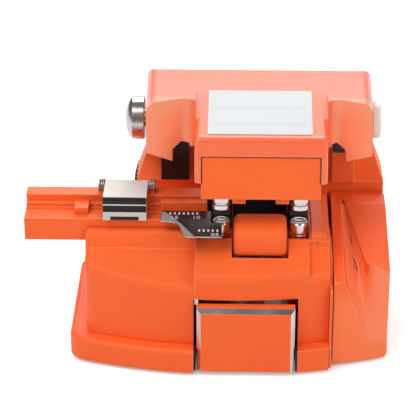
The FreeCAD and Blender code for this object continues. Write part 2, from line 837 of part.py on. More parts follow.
def make_hinge():
    y = deep("hinge_depth")
    z = "hinge_height"
    shaft = "hinge_shaft_size / 2"
    block = new_body("hinge_block")
    sides = rectangle(deep("rear_front"), deep("hinge_depth + lug_radius"), "rear_edge_top", z)
    form(block, "YZ", sides, "-hinge_block_left", "-lug_inner")
    form_circle(block, "YZ", (y, z), "lug_radius", "-hinge_block_left", "-lug_inner")
    form_circle(
        block, "YZ", (y, z), HINGE_BORE, "-hinge_block_left", "-lug_inner", cutting=True,
    )
    keep(block, "hinge_block")
    spring = ring("spring", "x", y, z, "spring_size / 2", "spring_size / 2 - spring_wire",
                  "-spring_length / 2", "spring_length / 2")
    keep(spring, "lid_spring")
    collar_start = "lid_shift - lid_half - slide_gap - collar_width"
    collar_end = "lid_shift - lid_half - slide_gap"
    cap_start = "lid_shift + lid_half + slide_gap"
    pin = rod("shaft_pin", "x", "0", "0", shaft, collar_start, cap_start)
    keep_on_lid(group("shaft_set", [pin]), "hinge_shaft")
    outside = rod("collar_outside", "x", "0", "0", "collar_size / 2", collar_start, collar_end)
    dome = cone("collar_dome", "x", "0", "0", "collar_size / 4", "collar_size / 2",
                f"{collar_start} - collar_dome", collar_start)
    bore = rod("collar_bore", "x", "0", "0", f"{shaft} + seat_gap", collar_start, f"{collar_end} + 1")
    screw_hole = rod("collar_screw_hole", "z", f"{collar_start} + collar_width / 2", "0",
                     "set_screw_size / 2 + seat_gap", "-collar_size", "0")
    keep_on_lid(cut("collar", fuse("collar_solid", [outside, dome]), [bore, screw_hole]), "hinge_collar")
    screw = rod("collar_screw", "z", f"{collar_start} + collar_width / 2", "0", "set_screw_size / 2",
                "-collar_size / 2 + 2 * slide_gap", f"-{shaft} - seat_gap")
    keep_on_lid(group("collar_screw_set", [screw]), "collar_set_screw")
    flange = rod("cap_flange", "x", "0", "0", "cap_size / 2", cap_start, f"{cap_start} + cap_flange_width")
    button = rod("cap_button", "x", "0", "0", "cap_button_size / 2", cap_start, f"{cap_start} + cap_width")
    keep_on_lid(fuse("cap", [flange, button]), "hinge_cap")


# ---------------------------------------------------------------- lid

def side_points(points, side):
    """Mirror an outline's first coordinate to one side."""
    if side == "":
        return points
    return [(f"-({across})", up) for across, up in reversed(points)]


LID_TAPER = value("(lid_half - lid_front_half) / (lid_rear + lid_side_front)")


def is_lid_rim(edge, middle):
    """Tell the top edges at the lid's two sides."""
    half = value("lid_half") - (value("lid_rear") - middle.y) * LID_TAPER
    at_side = abs(abs(middle.x - value("lid_shift")) - half) < 0.02
    return at_side and near(middle.z, "lid_top")


def is_nose_edge(edge, middle):
    """Tell the edges round the nose's ramp and front."""
    at_side = abs(abs(middle.x) - value("nose_half")) < 0.01
    ahead = middle.y < value("-lid_inner_front") - 1.0
    front = near(middle.y, "-nose_front")
    sloping = at_side and not upright(edge) and middle.z > value("lip_bottom")
    return ahead and (sloping or front and middle.z > value("-panel_bottom / 2"))


def make_lid_shell():
    body = new_body("lid_shell")
    plan = [
        ("lid_shift - lid_half", "lid_rear"),
        ("lid_shift - lid_front_half", "-lid_side_front"),
        ("-nose_half", "-lid_inner_front"),
        ("-nose_half", "-nose_front"),
        ("nose_half", "-nose_front"),
        ("nose_half", "-lid_inner_front"),
        ("lid_shift + lid_front_half", "-lid_side_front"),
        ("lid_shift + lid_half", "lid_rear"),
    ]
    form(body, "XY", plan, "-arm_bottom", "lid_top")
    soften(body, "nose_fillet", lambda edge, middle: upright(edge) and near(middle.y, "-lid_inner_front"))
    soften(body, "lid_round", is_lid_rim)
    back_curve = [
        ("lid_rear", "lid_top - lid_back_round", "lid_back_round"),
        ("lid_rear - lid_back_round", "lid_top"),
        ("lid_rear - lid_back_round", "lid_top + 1"),
        ("lid_rear + 1", "lid_top + 1"),
        ("lid_rear + 1", "lid_top - lid_back_round"),
    ]
    form(body, "YZ", back_curve, "-lid_half - 1", "lid_half + 1", cutting=True)
    ramp = [
        ("-ramp_start", "lid_top"),
        ("-ramp_end", "ramp_end_height"),
        ("-nose_front - 1", "lip_height"),
        ("-nose_front - 1", "lid_top + 1"),
        ("-ramp_start", "lid_top + 1"),
    ]
    form(body, "YZ", ramp, "-nose_half", "nose_half", cutting=True)
    soften(body, "nose_edge", is_nose_edge)
    inner = "lid_front_half - lid_wall"
    cabin = [
        (f"lid_shift - ({inner})", "-lid_inner_front + lid_wall"),
        (f"lid_shift + {inner}", "-lid_inner_front + lid_wall"),
        ("lid_shift + lid_half - lid_wall", "lid_rear - lid_wall"),
        ("lid_shift - lid_half + lid_wall", "lid_rear - lid_wall"),
    ]
    form(body, "XY", cabin, "-arm_bottom - 1", "lid_top - lid_wall", cutting=True)
    ramp_fall = "(lid_inner_front - ramp_start) * (lid_top - ramp_end_height) / (ramp_end - ramp_start)"
    throat = [
        ("-lid_inner_front + lid_wall + 1", "-arm_bottom - 1"),
        ("-lid_inner_front + lid_wall + 1", f"lid_top - {ramp_fall} - 1.5 * lid_wall"),
        ("-ramp_end + lid_wall", "ramp_end_height - ramp_wall"),
        ("-nose_front + arm_wall", "lip_bottom"),
        ("-nose_front - 1", "lip_bottom"),
        ("-nose_front - 1", "-arm_bottom - 1"),
    ]
    form(body, "YZ", throat, "-(nose_half - arm_wall)", "nose_half - arm_wall", cutting=True)
    for side in ("-", ""):
        centre = "lid_shift" if side == "" else "-lid_shift"
        hook = [
            ("nose_half", "lip_bottom"),
            (f"{centre} + hook_left - hook_bevel", "hook_top"),
            (f"{centre} + hook_left", "hook_top - hook_bevel_drop"),
            (f"{centre} + hook_left", "-hook_bottom"),
            ("lid_half + 1", "-cheek_edge + cheek_edge_rise"),
            ("lid_half + 1", "-arm_bottom - 1"),
            ("nose_half", "-arm_bottom - 1"),
        ]
        form(body, "XZ", side_points(hook, side), "-lid_side_front - 1", "-cheek_back_reach", cutting=True)
        arm = [
            ("nose_half + 1", "lip_bottom"),
            ("nose_half + 1", "-arm_bottom - 1"),
            ("nose_half - arm_wall - 1", "-arm_bottom - 1"),
            ("nose_half - arm_wall - 1", "lip_bottom"),
        ]
        form(
            body, "XZ", side_points(arm, side), "-nose_front + arm_depth", "-cheek_back_reach",
            cutting=True,
        )
    back = rectangle(f"lid_shift - ({inner})", f"lid_shift + {inner}", "-lid_wall", "lid_rear + 1")
    form(body, "XY", back, "-arm_bottom - 1", "lid_rear_edge", cutting=True)
    heel = [
        ("lid_wall", "-arm_bottom"),
        ("lid_rear", "-cheek_heel"),
        ("lid_rear + 1", "-cheek_heel"),
        ("lid_rear + 1", "-arm_bottom - 1"),
        ("lid_wall", "-arm_bottom - 1"),
    ]
    form(body, "YZ", heel, "-lid_half - 1", "lid_half + 1", cutting=True)
    form_circle(
        body, "YZ", ("0", "0"), "hinge_shaft_size / 2 + seat_gap", "-lid_half - 1", "lid_half + 1",
        cutting=True,
    )
    keep_on_lid(body, "lid_shell")


def make_lid_fittings():
    inner = "nose_half - arm_wall - seat_gap"
    front = "-nose_front + panel_sink"
    panel = new_body("lid_panel")
    form(panel, "XZ", rectangle(f"-({inner})", inner, "-panel_bottom", "lip_bottom - seat_gap"),
         front, f"{front} + panel_thick")
    keep_on_lid(panel, "lid_panel")
    insert = new_body("lid_insert")
    insert_front = f"{front} + panel_thick"
    insert_back = "fibre_depth - hinge_depth + pad_length"
    sides = [
        (insert_front, "-insert_bottom"),
        (insert_back, "-insert_bottom"),
        (insert_back, "lip_bottom - lid_wall"),
        (insert_front, "lip_bottom - seat_gap"),
    ]
    form(insert, "YZ", sides, f"-({inner}) + slide_gap", f"{inner} - slide_gap")
    gap = "insert_tab_left"
    form(insert, "XZ", rectangle(f"-{gap}", gap, "-insert_bottom - 1", "-insert_bottom + insert_notch"),
         insert_front, insert_back, cutting=True)
    for side in ("-", ""):
        tab = [
            ("insert_tab_left", "-insert_tab_bottom"),
            ("insert_tab_right", "-insert_tab_bottom"),
            ("insert_tab_right", "-insert_bottom + 1"),
            ("insert_tab_left", "-insert_bottom + 1"),
        ]
        form(insert, "XZ", side_points(tab, side), insert_front, f"{insert_front} + insert_tab_thick")
    keep_on_lid(insert, "lid_insert")
    posts = []
    pads = []
    feet = []
    for side in ("-", ""):
        x = f"{side}post_offset"
        y = "post_depth - hinge_depth"
        shut = "post_top - hinge_height"
        posts.append(rod("upper_post", "z", x, y, "post_size / 2", f"{shut} + post_gap", "-insert_bottom"))
        width = (f"{x} - pad_width / 2", f"{x} + pad_width / 2")
        length = ("fibre_depth - hinge_depth - pad_length / 2", "fibre_depth - hinge_depth + pad_length / 2")
        low = "fibre_height - hinge_height + post_gap"
        pads.append(box("upper_pad", width, length, (low, f"{low} + pad_thick")))
        feet.append(box("upper_foot", width, length, (f"{low} + pad_thick", "-insert_bottom")))
    keep_on_lid(group("upper_post_set", posts), "upper_posts")
    keep_on_lid(group("upper_pad_set", pads), "upper_pads")
    keep_on_lid(group("upper_foot_set", feet), "upper_pad_holders")
    notch_top = "-insert_bottom + insert_notch"
    anvil_y = "fibre_depth - hinge_depth"
    stem = rod(
        "anvil_stem", "z", "0", anvil_y, "anvil_size / 2", "anvil_tip - hinge_height + anvil_size / 2",
        notch_top,
    )
    tip = cone("anvil_point", "z", "0", anvil_y, "anvil_size / 5", "anvil_size / 2",
               "anvil_tip - hinge_height", "anvil_tip - hinge_height + anvil_size / 2")
    keep_on_lid(fuse("anvil_whole", [stem, tip]), "anvil")
    run = "ramp_end - ramp_start"
    fall = "lid_top - ramp_end_height"
    slope = f"atan(({fall}) / ({run}))"
    label = doc.addObject("Part::Box", "label_sheet")
    label.setExpression("Length", spelled("label_width"))
    label.setExpression("Width", spelled("label_length"))
    label.setExpression("Height", spelled("label_thick"))
    label.Placement = FreeCAD.Placement(FreeCAD.Vector(), FreeCAD.Rotation(FreeCAD.Vector(1, 0, 0), 1))
    place_at(label, "-label_width / 2 - label_shift", "-ramp_end", "ramp_end_height")
    label.setExpression("Placement.Rotation.Angle", spelled(slope))
    keep_on_lid(group("label_set", [label]), "label_plate")


# ---------------------------------------------------------------- carriage

def make_carriage():
    rail_half = "rail_width / 2"
    low = PLATE_TOP
    rail = box("rail_bar", (f"{RAIL_CENTRE} - {rail_half}", f"{RAIL_CENTRE} + {rail_half}"),
               (f"{SLOT_BACK} + recess_side_gap", f"{CAVITY_BACK} - recess_side_gap"),
                (low, f"{low} + rail_height"))
    keep(rail, "slide_rail")
    plate = new_body("front_plate")
    form(plate, "XZ", rectangle("-carriage_left", "carriage_right", "plate_low", "plate_high"),
         "front_y", deep("plate_deep"))
    soften(plate, "plate_bevel", lambda edge, middle: near(middle.y, "front_y"), chamfer=True)
    keep(plate, "front_plate")
    block = new_body("carriage_block")
    left = "-carriage_left + carriage_side_gap"
    right = "carriage_right - carriage_side_gap"
    start = deep("plate_deep")
    end = deep("plate_deep + carriage_length")
    form(block, "XZ", rectangle(left, right, "carriage_block_low", "carriage_block_high"), start, end)
    runner = f"{rail_half} + slide_gap / 2"
    groove = rectangle(f"{RAIL_CENTRE} - ({runner})", f"{RAIL_CENTRE} + {runner}", "carriage_block_low - 1",
                       f"{low} + rail_height + slide_gap / 2")
    form(block, "XZ", groove, start, end, cutting=True)
    kerf = rectangle(
        "-blade_thick", "blade_thick", "blade_height - blade_size / 2 - slide_gap",
        "carriage_block_high + 1",
    )
    form(block, "XZ", kerf, start, end, cutting=True)
    keep(block, "carriage_block")
    arm_y = (deep("blade_depth - blade_hub_size / 2"), deep("blade_depth + blade_hub_size / 2"))
    arm = box("arm_box", ("-blade_thick - arm_thick", "-blade_thick"), arm_y,
              ("carriage_block_high", "blade_height + blade_hub_size / 2"))
    bore = rod("arm_bore", "x", deep("blade_depth"), "blade_height", "blade_pin_size / 2 + seat_gap",
               "-blade_thick - arm_thick - 1", "0")
    keep(cut("arm", arm, [bore]), "blade_arm")
    half = "blade_thick / 2"
    keep(ring("blade_disc", "x", deep("blade_depth"), "blade_height", "blade_size / 2",
              "blade_pin_size / 2 + pin_gap", f"-{half}", half), "blade_wheel")
    stem = rod("pin_stem", "x", deep("blade_depth"), "blade_height", "blade_pin_size / 2",
               "-blade_thick - arm_thick", f"{half} + pin_gap + blade_nut")
    nut = rod("pin_nut", "x", deep("blade_depth"), "blade_height", "blade_hub_size / 2",
              f"{half} + pin_gap", f"{half} + pin_gap + blade_nut")
    keep(fuse("pin_whole", [stem, nut]), "blade_pin")
    guard = new_body("blade_guard")
    guard_end = deep("guard_front + guard_length")
    outside = [
        (deep("guard_front"), "guard_bottom"),
        (deep("guard_front"), "guard_face_top"),
        (deep("guard_front + guard_slope_run"), "guard_top"),
        (guard_end, "guard_top"),
        (guard_end, "guard_bottom"),
    ]
    form(guard, "YZ", outside, "-guard_half", "guard_half")
    soften(
        guard,
        "guard_round",
        lambda edge, middle: middle.y < value(guard_end) - 0.1 and middle.z > value("guard_bottom") + 0.1,
    )
    inside = [
        (deep("guard_front + guard_wall"), "guard_bottom - 1"),
        (deep("guard_front + guard_wall"), "guard_face_top - guard_wall / 2"),
        (deep("guard_front + guard_slope_run + guard_wall / 2"), "guard_top - guard_wall"),
        (guard_end, "guard_top - guard_wall"),
        (guard_end, "guard_bottom - 1"),
    ]
    form(
        guard, "YZ", inside, "-guard_half + 1.5 * guard_wall", "guard_half - 1.5 * guard_wall",
        cutting=True,
    )
    for side in ("-", ""):
        leg = rectangle(
            "guard_half - 1.5 * guard_wall", "guard_half", "carriage_block_high",
            "guard_bottom + guard_round",
        )
        form(guard, "XZ", side_points(leg, side), deep("guard_front + 2 * guard_wall"), guard_end)
    keep(guard, "blade_guard")


# ---------------------------------------------------------------- holder bar

def make_holder():
    bar = new_body("holder_bar")
    profile = [
        (deep("bar_front"), "bar_bottom"),
        (deep("bar_back"), "bar_bottom"),
        (deep("bar_back"), "ledge_top"),
        (deep("ledge_front"), "ledge_top"),
        (deep("ledge_front"), "bar_step_top"),
        (deep("bar_step_front"), "bar_step_top"),
        (deep("bar_step_front"), "bar_top"),
        (deep("fibre_depth + groove_width / 2"), "bar_top"),
        (deep("fibre_depth"), "bar_top - groove_width / 2"),
        (deep("fibre_depth - groove_width / 2"), "bar_top"),
        (deep("bar_front"), "bar_top"),
    ]
    form(bar, "YZ", profile, "-bar_left", "-bar_right")
    run = "tongue_width / 2 + slide_gap / 2"
    groove = rectangle(deep(f"tongue_depth - ({run})"), deep(f"tongue_depth + {run}"), "bar_bottom - 1",
                       f"{CHANNEL_FLOOR} + tongue_height + slide_gap / 2")
    form(bar, "YZ", groove, "-bar_left", "-bar_right", cutting=True)
    rib = rectangle(deep("bar_rib_front"), deep("bar_step_front"), "bar_top", "bar_rib_top")
    form(bar, "YZ", rib, "-bar_rib_left", "-bar_right")
    clamp_right = "-clamp_left + clamp_width"
    seat = rectangle("-clamp_left - clamp_ear_gap", f"{clamp_right} + clamp_ear_gap",
                     deep("clamp_axis_depth - clamp_knuckle - clamp_ear_gap"), deep("bar_back"))
    form(bar, "XY", seat, "clamp_axis_height - clamp_knuckle - clamp_ear_gap", "ledge_top + 1", cutting=True)
    for start, end in (("-clamp_left - clamp_ear_gap - clamp_ear_wall", "-clamp_left - clamp_ear_gap"),
                       (f"{clamp_right} + clamp_ear_gap", f"{clamp_right} + clamp_ear_gap + clamp_ear_wall")):
        ear = rectangle(
            deep("clamp_axis_depth - clamp_knuckle"), deep("bar_back"), "bar_step_top", "clamp_axis_height",
        )
        form(bar, "YZ", ear, start, end)
        form_circle(bar, "YZ", (deep("clamp_axis_depth"), "clamp_axis_height"), "clamp_knuckle", start, end)
    form_circle(bar, "YZ", (deep("clamp_axis_depth"), "clamp_axis_height"), "clamp_pin_size / 2 + seat_gap",
                "-clamp_left - clamp_ear_gap - clamp_ear_wall",
                f"{clamp_right} + clamp_ear_gap + clamp_ear_wall", cutting=True)
    keep(bar, "holder_bar")
    keep(rod("clamp_axle", "x", deep("clamp_axis_depth"), "clamp_axis_height", "clamp_pin_size / 2",
             "-clamp_left - clamp_ear_gap - clamp_ear_wall - slide_gap",
             f"{clamp_right} + clamp_ear_gap + clamp_ear_wall + slide_gap"), "clamp_pin")
    bridge = new_body("holder_bridge")
    arch = [
        (deep("fibre_depth - groove_width - bridge_foot"), "bar_top"),
        (deep("bar_step_front"), "bar_top"),
        (deep("bar_step_front"), "bar_step_top"),
        (deep("ledge_front"), "bar_step_top"),
        (deep("ledge_front"), "bar_top + bridge_rise"),
        (deep("fibre_depth - groove_width - bridge_foot"), "bar_top + bridge_rise"),
    ]
    form(bridge, "YZ", arch, "-bridge_left", "-bridge_left + bridge_width")
    form(bridge, "YZ", rectangle(deep("fibre_depth - groove_width / 2"), deep("fibre_depth + groove_width / 2"),
                                 "bar_top - 1", "bar_top + groove_width"),
         "-bridge_left", "-bridge_left + bridge_width", cutting=True)
    keep(bridge, "holder_bridge")
    clamp = new_body("clamp_plate")
    sheet_metal = "clamp_sheet"
    outline = [
        (deep("clamp_axis_depth"), "clamp_axis_height + clamp_knuckle"),
        (deep("clamp_flat_front"), "clamp_axis_height + clamp_knuckle", "clamp_bend"),
        (deep("clamp_front"), "clamp_face_top"),
        (deep("clamp_front"), "clamp_lip_bottom"),
        (deep(f"clamp_front + {sheet_metal}"), "clamp_lip_bottom"),
        (deep(f"clamp_front + {sheet_metal}"), "bar_top + clamp_curl - slide_gap"),
        (deep(f"clamp_front + clamp_curl + {sheet_metal}"), "bar_top + clamp_curl - slide_gap"),
        (deep(f"clamp_flat_front + {sheet_metal} / 2"), f"clamp_axis_height + clamp_knuckle - {sheet_metal}"),
        (deep("clamp_axis_depth"), f"clamp_axis_height + clamp_knuckle - {sheet_metal}"),
    ]
    form(clamp, "YZ", outline, "-clamp_left", clamp_right)
    form_circle(
        clamp, "YZ", (deep("clamp_axis_depth"), "clamp_axis_height"), "clamp_knuckle", "-clamp_left",
        clamp_right,
    )
    form_circle(clamp, "YZ", (deep("clamp_axis_depth"), "clamp_axis_height"), "clamp_pin_size / 2 + pin_gap",
                "-clamp_left", clamp_right, cutting=True)
    keep(clamp, "clamp_plate")
    pad = box("clamp_rubber", ("-clamp_left + clamp_pad_inset", f"{clamp_right} - clamp_pad_inset"),
              (deep("fibre_depth - pad_length / 2"), deep("bar_step_front - slide_gap")),
              ("bar_top + slide_gap / 2", f"clamp_axis_height + clamp_knuckle - {sheet_metal}"))
    keep(pad, "clamp_pad")


# ---------------------------------------------------------------- scale, bin and dial

def make_scale():
    scale = new_body("scale_plate")
    outline = [
        ("-scale_left", deep("scale_back")),
        ("-scale_left", deep("scale_mid")),
        ("-scale_step_left - scale_curve", deep("scale_mid")),
        ("-scale_step_left", deep("scale_front + scale_curve")),
        ("-scale_step_left + scale_curve / 2", deep("scale_front")),
        ("-scale_right", deep("scale_front")),
        ("-scale_right", deep("post_depth - post_size / 2 - slide_gap")),
        ("-post_offset - post_size / 2 - slide_gap", deep("post_depth - post_size / 2 - slide_gap")),
        ("-post_offset - post_size / 2 - slide_gap", deep("scale_back")),
    ]
    form(scale, "XY", outline, "bar_top + scale_lift", "bar_top + scale_lift + scale_thick")
    keep(scale, "scale_plate")


def bin_scoop():
    """Return the finger scoop's tool, which falls to the right from the strip."""
    slant = new_body("scoop_slant")
    low = "bin_top"
    fall = [
        ("bin_ridge_left", "0"),
        (f"bin_ridge_left + {low} * tan(bin_scoop_slant)", f"-({low})"),
        (f"bin_right + {low}", f"-({low})"),
        (f"bin_right + {low}", "bin_wall"),
        ("bin_ridge_left", "bin_wall"),
    ]
    form(slant, "XZ", fall, "-bin_back - bin_wall", "bin_wall")
    slant.Placement = FreeCAD.Placement(FreeCAD.Vector(), FreeCAD.Rotation(FreeCAD.Vector(1, 0, 0), 1))
    place_at(slant, "0", deep("bin_slope_back"), "bin_top")
    slant.setExpression("Placement.Rotation.Angle", spelled(BIN_SLOPE))
    bay = new_body("scoop_bay")
    far_right = "bin_right + 1"
    plan = [
        ("bin_left", deep("bin_ridge_back")),
        ("bin_ridge_left", deep("bin_ridge_back")),
        ("bin_ridge_right", deep("bin_ridge_front"), "bin_panel_round"),
        ("bin_panel_turn", deep("bin_panel_front")),
        (far_right, deep("bin_panel_front")),
        (far_right, deep("-flange_step")),
        ("bin_left", deep("-flange_step")),
    ]
    form(bay, "XY", plan, "bin_toe_top", "bin_top + 1")
    tool = doc.addObject("Part::MultiCommon", "scoop_tool")
    tool.Shapes = [slant, bay]
    doc.recompute()
    return tool


def bin_grip(name, across, behind):
    """Return a short slot's tool, laid along the scoop's slanting wall."""
    tool = doc.addObject("Part::Box", name)
    tool.setExpression("Length", spelled("bin_grip_reach"))
    tool.setExpression("Width", spelled("bin_grip_length"))
    tool.setExpression("Height", spelled("bin_grip_width"))
    drop = f"({across} - bin_ridge_left) / tan(bin_scoop_slant)"
    rise = f"bin_top - (bin_slope_back - ({behind})) * tan({BIN_SLOPE})"
    place_at(tool, f"{across} - bin_grip_deep", deep(behind), f"{rise} - {drop}")
    return group(name + "_set", [tool])


BIN_SLOPE = "atan((bin_top - bin_face_top) / (bin_slope_back - flange_step + flange_lip))"


def make_bin():
    body = new_body("bin_block")
    profile = [
        (deep("flange_step - flange_lip"), "bin_bottom"),
        (deep("flange_step - flange_lip"), "bin_face_top"),
        (deep("bin_slope_back"), "bin_top"),
        (deep("bin_back"), "bin_top"),
        (deep("bin_back"), "bin_bottom"),
    ]
    form(body, "YZ", profile, "bin_left", "bin_right")
    far_right = "bin_right + 1"
    front = [
        ("bin_left - 1", bow("bin_left - 1", "bin_setback"), "bow_radius"),
        (far_right, bow(far_right, "bin_setback")),
        (far_right, deep("-flange_step")),
        ("bin_left - 1", deep("-flange_step")),
    ]
    form(body, "XY", front, "bin_bottom - 1", "bin_top + 1", cutting=True)
    soften(
        body, "bin_corner", lambda edge,
        middle: near(middle.x, "bin_right") and middle.y < value(deep("bin_back")) - 1,
    )
    hollow = rectangle(
        deep("bin_hollow_front"), deep("bin_back - bin_wall"), "bin_bottom + bin_wall", "bin_hollow_top",
    )
    form(body, "YZ", hollow, "bin_left", "bin_left + bin_hollow_width", cutting=True)
    tools = [bin_scoop()]
    for name, across, behind in (
        ("upper_grip", "upper_grip_left", "upper_grip_front"),
        ("lower_grip", "lower_grip_left", "lower_grip_front"),
    ):
        tools.append(bin_grip(name, across, behind))
    keep(cut("bin", body, tools), "bin_shell")


def make_dial():
    ribs = 2 * int(value("dial_teeth"))
    radius = value("dial_size") / 2
    depth = value("dial_tooth_deep")
    corners = []
    for index in range(ribs):
        reach = radius - (depth if index % 2 else 0.0)
        angle = 2 * math.pi * index / ribs
        corners.append(FreeCAD.Vector(reach * math.cos(angle), 0, reach * math.sin(angle)))
    face = Part.Face(Part.makePolygon(corners + [corners[0]]))
    wheel = face.extrude(FreeCAD.Vector(0, value("dial_width"), 0))
    bore = Part.makeCylinder(value("dial_shaft_size / 2 + seat_gap"), value("dial_width"), FreeCAD.Vector(),
                             FreeCAD.Vector(0, 1, 0))
    dial = doc.addObject("Part::Feature", "dial_wheel_solid")
    dial.Shape = wheel.cut(bore)
    place_at(dial, "-dial_x", "rear_y + slide_gap", "dial_z")
    doc.recompute()
    keep(dial, "dial_wheel")
    keep(rod("dial_axle", "y", "-dial_x", "dial_z", "dial_shaft_size / 2", "rear_y - dial_width + slide_gap",
             "rear_y + slide_gap + dial_width"), "dial_shaft")


def check_and_write():
    """Stop on any failed object, then write each piece to its own file."""
    doc.recompute()
    for piece in doc.Objects:
        if "Invalid" in piece.State or "Error" in piece.State:
            raise RuntimeError(f"{piece.Name} is {piece.State}")
    os.makedirs("parts", exist_ok=True)
    for piece in PIECES:
        shape = piece.Shape
        if shape.isNull() or not shape.isValid() or not shape.Solids:
            raise RuntimeError(f"{piece.Label} has no valid solid")
        shape.exportStep(os.path.join("parts", piece.Label + ".step"))
        bounds = shape.BoundBox
        print(f"{piece.Label:20s} solids {len(shape.Solids)} volume {shape.Volume:9.2f} "
              f"x {bounds.XMin:7.2f} {bounds.XMax:7.2f} y {bounds.YMin:7.2f} {bounds.YMax:7.2f} "
              f"z {bounds.ZMin:7.2f} {bounds.ZMax:7.2f}")


make_base()
make_main_body()
make_posts()
make_hinge()
make_lid_shell()
make_lid_fittings()
make_carriage()
make_holder()
make_scale()
make_bin()
make_dial()
check_and_write()
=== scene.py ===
"""Looks of the fibre cleaver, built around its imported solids.

The frame is in metres. The sizes that the classes hold are in millimetres, and metres() turns them.
"""

import json
import logging
import math
from dataclasses import dataclass
from enum import Enum
from functools import cache
from typing import Sequence

import bmesh
import bpy
from mathutils import Matrix, Vector

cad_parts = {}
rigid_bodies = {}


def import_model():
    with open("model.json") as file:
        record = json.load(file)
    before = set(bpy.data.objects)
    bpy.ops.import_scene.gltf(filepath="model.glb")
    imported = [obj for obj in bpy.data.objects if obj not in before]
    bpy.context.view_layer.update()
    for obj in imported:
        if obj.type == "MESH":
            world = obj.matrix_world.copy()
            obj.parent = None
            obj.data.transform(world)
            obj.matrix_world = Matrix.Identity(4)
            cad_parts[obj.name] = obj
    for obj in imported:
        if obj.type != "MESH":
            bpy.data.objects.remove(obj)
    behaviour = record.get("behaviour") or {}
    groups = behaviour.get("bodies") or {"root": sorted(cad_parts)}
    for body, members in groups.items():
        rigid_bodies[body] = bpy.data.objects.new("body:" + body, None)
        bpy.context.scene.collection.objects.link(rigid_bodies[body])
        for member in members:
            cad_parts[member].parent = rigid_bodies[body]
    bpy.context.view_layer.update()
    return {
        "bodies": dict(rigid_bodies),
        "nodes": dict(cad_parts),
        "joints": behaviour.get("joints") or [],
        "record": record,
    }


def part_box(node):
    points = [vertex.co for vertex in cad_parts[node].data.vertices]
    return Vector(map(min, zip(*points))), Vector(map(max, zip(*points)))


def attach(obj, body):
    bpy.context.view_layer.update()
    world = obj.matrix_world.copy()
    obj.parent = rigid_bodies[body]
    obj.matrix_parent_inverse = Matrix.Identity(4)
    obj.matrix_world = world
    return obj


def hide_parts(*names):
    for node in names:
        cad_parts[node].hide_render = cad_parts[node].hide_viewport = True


LOG = logging.getLogger("fibre_cleaver")
MM = 0.001

Colour = tuple[float, float, float]
Point = tuple[float, float, float]
Pair = tuple[float, float]
Inputs = dict[str | int, object]
Corners = list[bmesh.types.BMVert]
Work = bmesh.types.BMesh
Material = bpy.types.Material
Piece = bpy.types.Object
Socket = bpy.types.NodeSocket
Tree = bpy.types.NodeTree

FLOAT = "NodeSocketFloat"
COLOUR = "NodeSocketColor"
VECTOR = "NodeSocketVector"
SHADER_GROUP = "ShaderNodeGroup"
BUMP_DISTANCE = 0.1
BEVEL_SAMPLES = 4
FIGURE_THICK = 0.02


def metres(*lengths: float) -> tuple[float, ...]:
    """Turn millimetres into metres."""
    return tuple(length * MM for length in lengths)


def opaque(colour: Colour) -> tuple[float, float, float, float]:
    """Return a colour with a full alpha."""
    return (*colour, 1.0)


# ---------------------------------------------------------------- node trees


class Wiring:
    """A node tree, with short ways to add nodes and feed them."""

    def __init__(self, tree: Tree) -> None:
        """Keep the tree."""
        self.tree = tree

    def feed(self, node: bpy.types.Node, inputs: Inputs) -> None:
        """Feed a node.

        Args:
            node: the node.
            inputs: a socket or a plain value for each input, by name or by place.
        """
        for key, source in inputs.items():
            if isinstance(source, Socket):
                self.tree.links.new(source, node.inputs[key])
            else:
                node.inputs[key].default_value = source

    def out(self, output: str, kind: str, inputs: Inputs | None = None, **options: object) -> Socket:
        """Add a node.

        Args:
            output: the name of the output that is wanted.
            kind: the node's type.
            inputs: a socket or a plain value for each input, by name or by place.
            options: the node's own settings.

        Returns:
            The wanted output.
        """
        node = self.tree.nodes.new(kind)
        for option, value in options.items():
            setattr(node, option, value)
        self.feed(node, inputs or {})
        return node.outputs[output]

    def calculate(self, operation: str, *terms: object) -> Socket:
        """Return the result of one operation on numbers."""
        return self.out("Value", "ShaderNodeMath", dict(enumerate(terms)), operation=operation)

    def ramp(self, value: Socket, limits: Pair, results: tuple[object, object] = (0.0, 1.0),
             shape: str = "LINEAR") -> Socket:
        """Turn a value between two limits into one between two results.

        Args:
            value: the value.
            limits: where the ramp starts and ends.
            results: what it gives there.
            shape: how it runs in between.

        Returns:
            The result.
        """
        inputs = {"Value": value, "From Min": limits[0], "From Max": limits[1],
                  "To Min": results[0], "To Max": results[1]}
        return self.out("Result", "ShaderNodeMapRange", inputs, interpolation_type=shape)

    def blend(self, amount: Socket, first: object, second: object) -> Socket:
        """Return a blend of two colours."""
        inputs = {"Factor": amount, "A": first, "B": second}
        return self.out("Result", "ShaderNodeMix", inputs, data_type="RGBA")

    def spot(self) -> Socket:
        """Return the object coordinates."""
        return self.out("Object", "ShaderNodeTexCoord")

    def spot_along(self, axis: str) -> Socket:
        """Return the object coordinate along one axis."""
        return self.out(axis, "ShaderNodeSeparateXYZ", {"Vector": self.spot()})

    def noise(self, scale: Socket, detail: float, squeeze: Point = (1.0, 1.0, 1.0)) -> Socket:
        """Add a noise on object coordinates.

        Args:
            scale: the noise's scale.
            detail: the noise's detail.
            squeeze: the factor on the coordinates along each axis.

        Returns:
            The noise's value.
        """
        spot = self.out("Vector", "ShaderNodeMapping", {"Vector": self.spot(), "Scale": squeeze})
        return self.out("Fac", "ShaderNodeTexNoise", {"Vector": spot, "Scale": scale, "Detail": detail})


